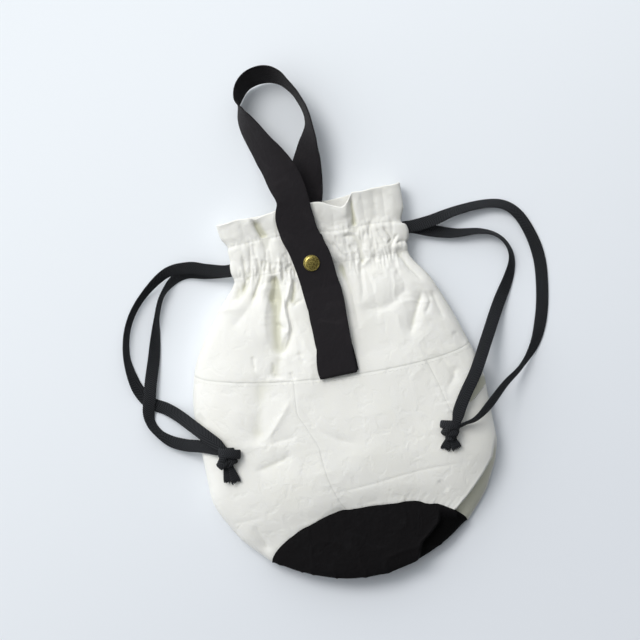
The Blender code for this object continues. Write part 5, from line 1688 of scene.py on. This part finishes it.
PATCH_LINE = [(102, -27.5), (109.5, -22.4), (120, -14.2), (126, -10)]  # the stitches on the patch of painted shade
PATCH_EDGE = 0.9 * MM
PATCH_STARTS = (104 * MM, 107 * MM)
PATCH_TOP = (-3 * MM, -7 * MM)
PATCH_LOWEST = 7 * MM


def painted_shade_patch(points):
    """Painted shade: how much goes on the yellow-green corner of cloth at the right edge, above its row of
    dark stitches, where the cords shade it.
    """
    line = np.array(PATCH_LINE) * MM
    x, y = points[..., 0], points[..., 1]
    above = y - np.interp(x, line[:, 0], line[:, 1])
    inside = smooth(0, PATCH_EDGE, above) * smooth(*PATCH_STARTS, x)
    return inside * smooth(*PATCH_TOP, y) * (points[..., 2] > PATCH_LOWEST)


BESIDE_SEAM = (0.35 * MM, 0.75 * MM)  # finer cells next to the seams
CLOSEST = 0.8  # cells between a seam and the next even row


def rows_between(start, end, cell):
    """Rows of the cloth from one seam to the next, with finer cells at both."""
    rows = np.linspace(start, end, max(3, round((end - start) / cell)) + 1)
    rows = rows[(rows > start + cell * CLOSEST) & (rows < end - cell * CLOSEST)]
    beside = np.array((0, *BESIDE_SEAM))
    return np.sort(np.concatenate([rows, start + beside, end - beside]))


HEM_FOLD = [(0.35, 0.25), (0.45, 0.5), (0.35, 0.75)]  # above the mouth and inside it, in FACING_INSET
HALF_APART = 1e-5  # keeps the front's and back's side edges from lying in one place


def upper_cloth(name, node, centre, cell, look):
    """Half of the upper body, with its hem turned in at the mouth."""
    reach = QUARTER - HALF_APART
    angles = even_angles(centre - reach, centre + reach, cell, CHANNEL_Y)
    rows = rows_between(SEAM_Y, MOUTH_Y, cell)
    outer, tones = wall_grid(angles[None, :], rows[:, None])
    places = [(MOUTH_Y + above * FACING_INSET, inside * FACING_INSET) for above, inside in HEM_FOLD]
    places += [(y, FACING_INSET) for y in rows_between(FRILL_Y, MOUTH_Y, 2 * cell)[::-1]]
    hem = np.array([wall(angles, np.full(len(angles), y), inset) for y, inset in places])
    crease = np.concatenate([tones["crease"], np.full(hem.shape[:2], FRILL_SHADE)])
    seam = np.concatenate([tones["seam"], np.zeros(hem.shape[:2])])
    made = cloth_object(name, np.concatenate([outer, hem]), look, node, crease=crease, seam=seam)


def lower_cloth(name, node, first_seam, last_seam, cell, look):
    """A panel of the lower body between two seams."""
    rows = rows_between(RIM_Y, SEAM_Y, cell)
    first, last = panel_seam(first_seam, rows)[:, None], panel_seam(last_seam, rows)[:, None]
    last = np.where(last < first, last + 2 * math.pi, last)
    middle = len(rows) // 2
    angles = even_angles(first[middle, 0], last[middle, 0], cell, WIDEST_Y)
    part = (angles - angles[0]) / (angles[-1] - angles[0])
    beside = np.array(BESIDE_SEAM) / BODY_HALF_WIDTH / (angles[-1] - angles[0])
    part = np.sort(np.concatenate([part, beside, 1 - beside]))
    points, tones = wall_grid(share(first, last, part[None, :]), rows[:, None])
    cloth_object(name, points, look, node, **tones)


# The base

BASE_REACH = 0.985 * QUARTER
BASE_ROWS = 96
BASE_EASE = 0.5  # of its turn, over which the base leaves the wall's uneven edge
BASE_BELOW = 0.4 * MM
BASE_ROUNDNESS = 0.8
BASE_DROP = 0.45 * FOLD_DROP  # the cloth bulges a little more than its solid
BASE_WRINKLES = [(0.55, 26 * MM, 50), (0.3, 11 * MM, 51)]
BASE_WARP = (14 * MM, 4 * MM, (52, 53, 54))
BASE_RIDGES = (21 * MM, 55, 2.2)
BASE_RIDGE_HEIGHT = 0.8
BASE_CREASE = [(62, -110), (59.6, -116.7), (50.9, -124.4), (41.9, -130.8), (35.7, -145.0), (34, -150)]
BASE_STEP = 5.5 * MM
BASE_STEP_WIDTH = 1.6 * MM
BASE_STEP_HEIGHTS = (3 * MM, 9 * MM)  # it eases in over these heights, and over these turns
BASE_STEP_TURNS = (0.05, 0.5)
LIP_HEIGHT = 1.6 * MM
LIP_WIDTH = 2.2 * MM


def base_point(angle, turn):
    """A point of the folded base, from the front rim (turn 0) round the fold to the back rim (turn pi)."""
    rim = np.full_like(angle, RIM_Y)
    part = turn / math.pi
    even_front = ring(angle, rim) - UP * BASE_BELOW
    front = share(wall(angle, rim), even_front, smooth(0, BASE_EASE, turn)[..., None])
    even_back, back = ring(math.pi - angle, rim), wall(math.pi - angle, rim)
    back = share(back, even_back, smooth(0, BASE_EASE, math.pi - turn)[..., None])
    reach = FOLD_REACH * (1 - np.sin(angle) ** 2) ** BASE_ROUNDNESS
    y = share(front[..., 1], back[..., 1], part) - reach * np.sin(turn)
    drop = ((1 + np.cos(turn)) / 2) ** BASE_DROP
    x = share(front[..., 0], back[..., 0], part)
    return np.stack([x, y, share(back[..., 2], front[..., 2], drop)], axis=-1)


def base_relief(points, turn):
    wrinkles = layered(points, BASE_WRINKLES)
    creases = ridged(warped(points, *BASE_WARP), *BASE_RIDGES).clip(0, 1) ** 3
    return MM * (wrinkles + BASE_RIDGE_HEIGHT * creases) * np.sin(turn) ** 0.5


def base_cloth(look):
    angles = even_angles(-BASE_REACH, BASE_REACH, CELL, RIM_Y)
    turns = np.linspace(0.0, math.pi, BASE_ROWS)
    grid = base_point(*np.broadcast_arrays(angles[None], turns[:, None]))
    turns = turns[:, None]
    normal = unit(np.cross(np.gradient(grid, axis=0), np.gradient(grid, axis=1)))
    grid = grid + normal * base_relief(grid, turns)[..., None]
    off, beyond = right_of_line(grid, BASE_CREASE, BASE_STEP_WIDTH)
    upper = smooth(*BASE_STEP_HEIGHTS, grid[..., 2]) * smooth(*BASE_STEP_TURNS, turns)
    lip = np.exp(-np.abs(off) / LIP_WIDTH) * (off < 0)
    grid[..., 2] += (LIP_HEIGHT * lip - BASE_STEP * beyond) * upper
    grid[..., 2] = np.maximum(grid[..., 2], OFF_FLOOR)
    # the recess beyond the crease gets painted shade in its colour
    made = cloth_object("base_cloth", grid[::-1], look, "base_panel", recess=(beyond * upper)[::-1])


# The strap and the snap's cap

STRAP_AROUND = 44
STRAP_ROUNDNESS = 0.42
STRAP_FOLD_STEP = 0.6 * MM
UNDER_ROWS = 84  # rows of points in the strap's under layer, and in its upper one
UPPER_ROWS = 88
EDGED_ROWS = 40  # rows of the loop up to which the measured edges reach
STRAP_WAVES = [(0.30, 17 * MM, 60), (0.12, 7 * MM, 61)]
STRAP_CUPS = (60 * MM, 62)
CUP_DEPTH = 0.9
CUP_MIDDLE = 0.4
CUP_LEAST = 0.4
LAID_WAVES = 0.35  # share of the waves where the strap lies on the pouch
LOOP_STARTS = (-30 * MM, 10 * MM)  # before and after the loop's first row
STRAP_EDGE_NOISE = [(0.25 * MM, 13 * MM, 63)]
DENT_STRETCH = 1.8
STRAP_EDGES = [  # place along the pouch, and how far the upper layer's left and right edges stand out
    (20, -1.7, 0.0),
    (26.6, -2.2, 0.0),
    (33.2, -1.6, 0.2),
    (39.9, -0.3, 0.5),
    (46.7, 1.4, 1.2),
    (53.5, 2.4, 1.5),
    (67.0, 2.4, 2.4),
    (80.6, 1.8, 3.5),
    (88.7, 1.4, 3.6),
    (102, 1.1, 2.4),
    (117, 0.0, 2.1),
    (124, -0.5, 1.4),
    (131, -1.0, 0.2),
    (138, -1.1, 0.1),
    (145, -1.8, 0.2),
    (152, -1.7, 0.7),
    (158.8, -0.9, 0.4),
    (165.6, 0.9, 0.0),
    (173, 2.6, 0.0),
    (184, 1.0, 0.0),
    (196, 0.0, 0.0),
]
UNDER_EDGE = [(20, 1.6), (36, 1.7), (50, 1.0), (70, 1.5), (88, 2.6), (104, 1.2), (118, 0.0)]
STRAP_DENTS = [  # share of the strap's length from the sewn under end, across from its middle, depth, size
    (0.50, -1.5, 0.9, 4.0),
    (0.515, 3.5, 0.8, 3.0),
]


def strap_route():
    """The strap's centre line, from the sewn end under it to the sewn end inside the back, with leans."""
    down = np.linspace(STRAP_ANCHOR_Y, STRAP_END_Y + STRAP_RISE / 2, UNDER_ROWS)
    up = np.linspace(STRAP_END_Y + STRAP_RISE / 2, FRILL_Y + 1 * MM, UPPER_ROWS)
    under, upper = strap_layer(UNDER_LAYER, 0, down), strap_layer(UPPER_LAYER, STRAP_RISE, up)[:-1]
    flat = np.concatenate([under, curve_through(STRAP_FOLD, STRAP_FOLD_STEP), upper])
    loop = [(*UPPER_LAYER[-1], 0)] + STRAP_LOOP
    points = curve_through([s[:3] for s in loop], STRAP_STEP)
    leans = lean_along(loop, points)
    across = np.concatenate([along_route([1.0, 0, 0], flat), leaning(points, leans)])
    return np.concatenate([flat, points]), across, len(flat)


def strap_waves(reached, outline, loop_start):
    """How far the strap's cloth is from flat, up or down, at places along and across it."""
    places = np.stack(np.broadcast_arrays(reached[:, None], outline[:, 0], 0.0), axis=-1)
    part = outline[:, 0] / (STRAP_WIDTH / 2)
    before, after = LOOP_STARTS
    on_loop = smooth(loop_start + before, loop_start + after, reached)[:, None]
    wavy = layered(places, STRAP_WAVES)
    cups = CUP_LEAST + (1 - CUP_LEAST) * noise(places * (1, 0, 0), *STRAP_CUPS)
    cupped = CUP_DEPTH * (part**2 - CUP_MIDDLE) * cups
    waves = MM * (wavy * share(LAID_WAVES, 1.0, on_loop) + cupped * on_loop)
    for place, offset, depth, size in STRAP_DENTS:
        along = (reached[:, None] / reached[-1] - place) * reached[-1] * DENT_STRETCH
        off = np.hypot(along, outline[:, 0] - offset * MM)
        waves = waves - depth * MM * np.exp(-((off / (size * MM)) ** 2))
    return waves


def strap_widening(y, row_number, loop_row, part):
    """How far the flat layers' edges stand out, as they do in the photograph."""
    flat = row_number < loop_row + EDGED_ROWS
    upper = flat & (row_number >= UNDER_ROWS)
    left = eased([(place, out) for place, out, _ in STRAP_EDGES], y) * upper
    right = eased([(place, out) for place, _, out in STRAP_EDGES], y) * upper
    under = eased(UNDER_EDGE, y) * (flat & ~upper)
    return (share(left[:, None], right[:, None], (part + 1) / 2) + under[:, None]) * MM


def strap(look):
    points, across, loop_row = strap_route()
    reached = lengths_along(points)
    outline = flat_section(STRAP_WIDTH, STRAP_THICKNESS, STRAP_AROUND, STRAP_ROUNDNESS)
    part = outline[:, 0] / (STRAP_WIDTH / 2)
    section = along_route(outline, points)
    section[..., 1] += strap_waves(reached, outline, reached[loop_row])
    edge = layered(on_axis(reached), STRAP_EDGE_NOISE)
    section[..., 0] += edge[:, None] * np.abs(part) ** 3 * np.sign(part)
    section[..., 0] += strap_widening(points[:, 1] / MM, np.arange(len(points)), loop_row, part)
    made = swept("strap_webbing", points, across, section, look)
    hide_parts("handle_strap")


CAP_SIDES = 96
CAP_HEIGHT = 1.45 * MM
CAP_RIM = [  # radius and height of the rolled rim, from underneath to the groove inside it, as shares
    (0, 0.0), (0.55, 0.0), (0.93, 0.0), (0.985, 0.12), (1.0, 0.32), (0.985, 0.5), (0.94, 0.6),
    (0.89, 0.56), (0.86, 0.53), (0.82, 0.58),
]
DOME_RISE = 0.52
DOME_ANGLES = np.linspace(0.15, QUARTER, 12)
SMALLEST = 0.001


def snap_dome(look):
    """The snap's cap: a low dome inside a rolled rim."""
    top = UPPER_LAYER_Z + STRAP_THICKNESS / 2 + CLEAR
    wide, low = CAP_RIM[-1]
    profile = CAP_RIM + [(wide * math.cos(t), low + DOME_RISE * math.sin(t)) for t in DOME_ANGLES]
    turn = np.linspace(0, 2 * math.pi, CAP_SIDES, endpoint=False)
    rings = []
    for part, height in profile:
        r, z = max(part, SMALLEST) * SNAP_RADIUS, height * CAP_HEIGHT
        rings.append(np.stack([r * np.cos(turn), r * np.sin(turn), np.full_like(turn, z)], axis=-1))
    points = np.array(rings) + np.array([SNAP_X, SNAP_Y, top])
    made = mesh_object("snap_dome", points, grid_faces(len(profile), CAP_SIDES, wrapped=True), look)
    cap_ends(made)
    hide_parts("snap_cap")


# Stitches

STITCH = 2.1 * MM
STITCH_GAP = 1.0 * MM
STITCH_RADIUS = 0.13 * MM
STITCH_LIFT = 0.04 * MM
STITCH_SINK = 0.25 * MM  # how far its ends go into the cloth
STITCH_PLACES = STITCH * np.array([0, 0.25, 0.5, 0.75, 1.0])
STITCH_CELL = 0.7 * MM
STITCHED = 0.97 * QUARTER
BELOW_SEAM = 2.6 * MM


def along_line(places, reached, line):
    """Points of a line at places along it."""
    return np.stack([np.interp(places, reached, line[:, k]) for k in range(3)], axis=-1)


def stitches(name, row, centre, look):
    """A row of stitches on the front's or back's cloth."""
    angles = even_angles(centre - STITCHED, centre + STITCHED, STITCH_CELL, row)
    rows = np.full(len(angles), row)
    line = wall(angles, rows) + outward(angles, rows) * STITCH_LIFT
    reached = lengths_along(line)
    points, faces = [], []
    for start in np.arange(0, reached[-1] - STITCH, STITCH + STITCH_GAP):
        one = along_line(start + STITCH_PLACES, reached, line)
        one[[0, -1]] -= outward(np.interp(start, reached, angles), row) * STITCH_SINK
        add_thread(points, faces, one, STITCH_RADIUS)
    mesh_object(name, np.array(points), faces, look)


def all_stitches(look):
    for row_name, row in (("frill", FRILL_Y), ("channel", CHANNEL_Y), ("main_seam", SEAM_Y - BELOW_SEAM)):
        for side_name, centre in (("front", 0), ("back", math.pi)):
            stitches(f"stitches_{row_name}_{side_name}", row, centre, look)


PATCH_STITCH_PLACES = np.array([0, 0.35, 0.75, 1.1]) * MM
PATCH_PITCH = 1.7 * MM
PATCH_RADIUS = 0.22 * MM
PATCH_LIFT = 0.05 * MM
PATCH_ROWS = (-32 * MM, -6 * MM, 60)  # the wall looked at for the stitches' heights
PATCH_STEP = 0.3 * MM
PATCH_ANGLE = 0.3 * QUARTER


def patch_stitches(look):
    """The row of dark stitches by the right edge, at the corner with yellow-green painted shade."""
    line = curve_through([(x * MM, y * MM, 0) for x, y in PATCH_LINE[1:3]], 0.5 * MM)
    angles = even_angles(PATCH_ANGLE, QUARTER, PATCH_STEP, line[0, 1])
    cloth = wall(angles[None, :], np.linspace(*PATCH_ROWS)[:, None]).reshape(-1, 3)
    nearest = [np.argmin(np.hypot(*(cloth[:, :2] - point[:2]).T)) for point in line]
    line[:, 2] = cloth[nearest, 2] + PATCH_LIFT
    reached = lengths_along(line)
    points, faces = [], []
    for start in np.arange(0, reached[-1] - PATCH_STITCH_PLACES[-1], PATCH_PITCH):
        add_thread(points, faces, along_line(start + PATCH_STITCH_PLACES, reached, line), PATCH_RADIUS)
    mesh_object("stitches_patch", np.array(points), faces, look)


# Dressing the frame

camera()
light()
floor()
RESTING = resting_places()

WHITE_LOOK = white_cloth()
TWILL = black_twill()
CANVAS = black_canvas()
BRAID = black_braid()
BRASS_LOOK = aged_brass()
WHITE_THREAD = thread_material("white_thread", THREAD)
DARK_THREAD = thread_material("dark_thread", DARK_THREAD_COLOUR)

strands(BRAID)
knots(BRAID)

upper_cloth("upper_front_cloth", "upper_front_panel", 0.0, FINE_CELL, WHITE_LOOK)
upper_cloth("upper_back_cloth", "upper_back_panel", math.pi, BACK_CELL, WHITE_LOOK)
for panel, first_seam, last_seam, cell in (
    ("front", "front_left", "front_right", CELL),
    ("right", "front_right", "back_right", CELL),
    ("back", "back_right", "back_left", BACK_CELL),
    ("left", "back_left", "front_left", CELL),
):
    name = f"lower_{panel}"
    lower_cloth(name + "_cloth", name + "_panel", first_seam, last_seam, cell, WHITE_LOOK)
base_cloth(CANVAS)
strap(TWILL)
snap_dome(BRASS_LOOK)
all_stitches(WHITE_THREAD)
patch_stitches(DARK_THREAD)

for node, look in (
    ("snap_socket", BRASS_LOOK),
    ("snap_stud", BRASS_LOOK),
    ("snap_post", BRASS_LOOK),
    ("drawstring_left_in_channel", BRAID),
    ("drawstring_right_in_channel", BRAID),
):
    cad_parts[node].data.materials.clear()
    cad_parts[node].data.materials.append(look)
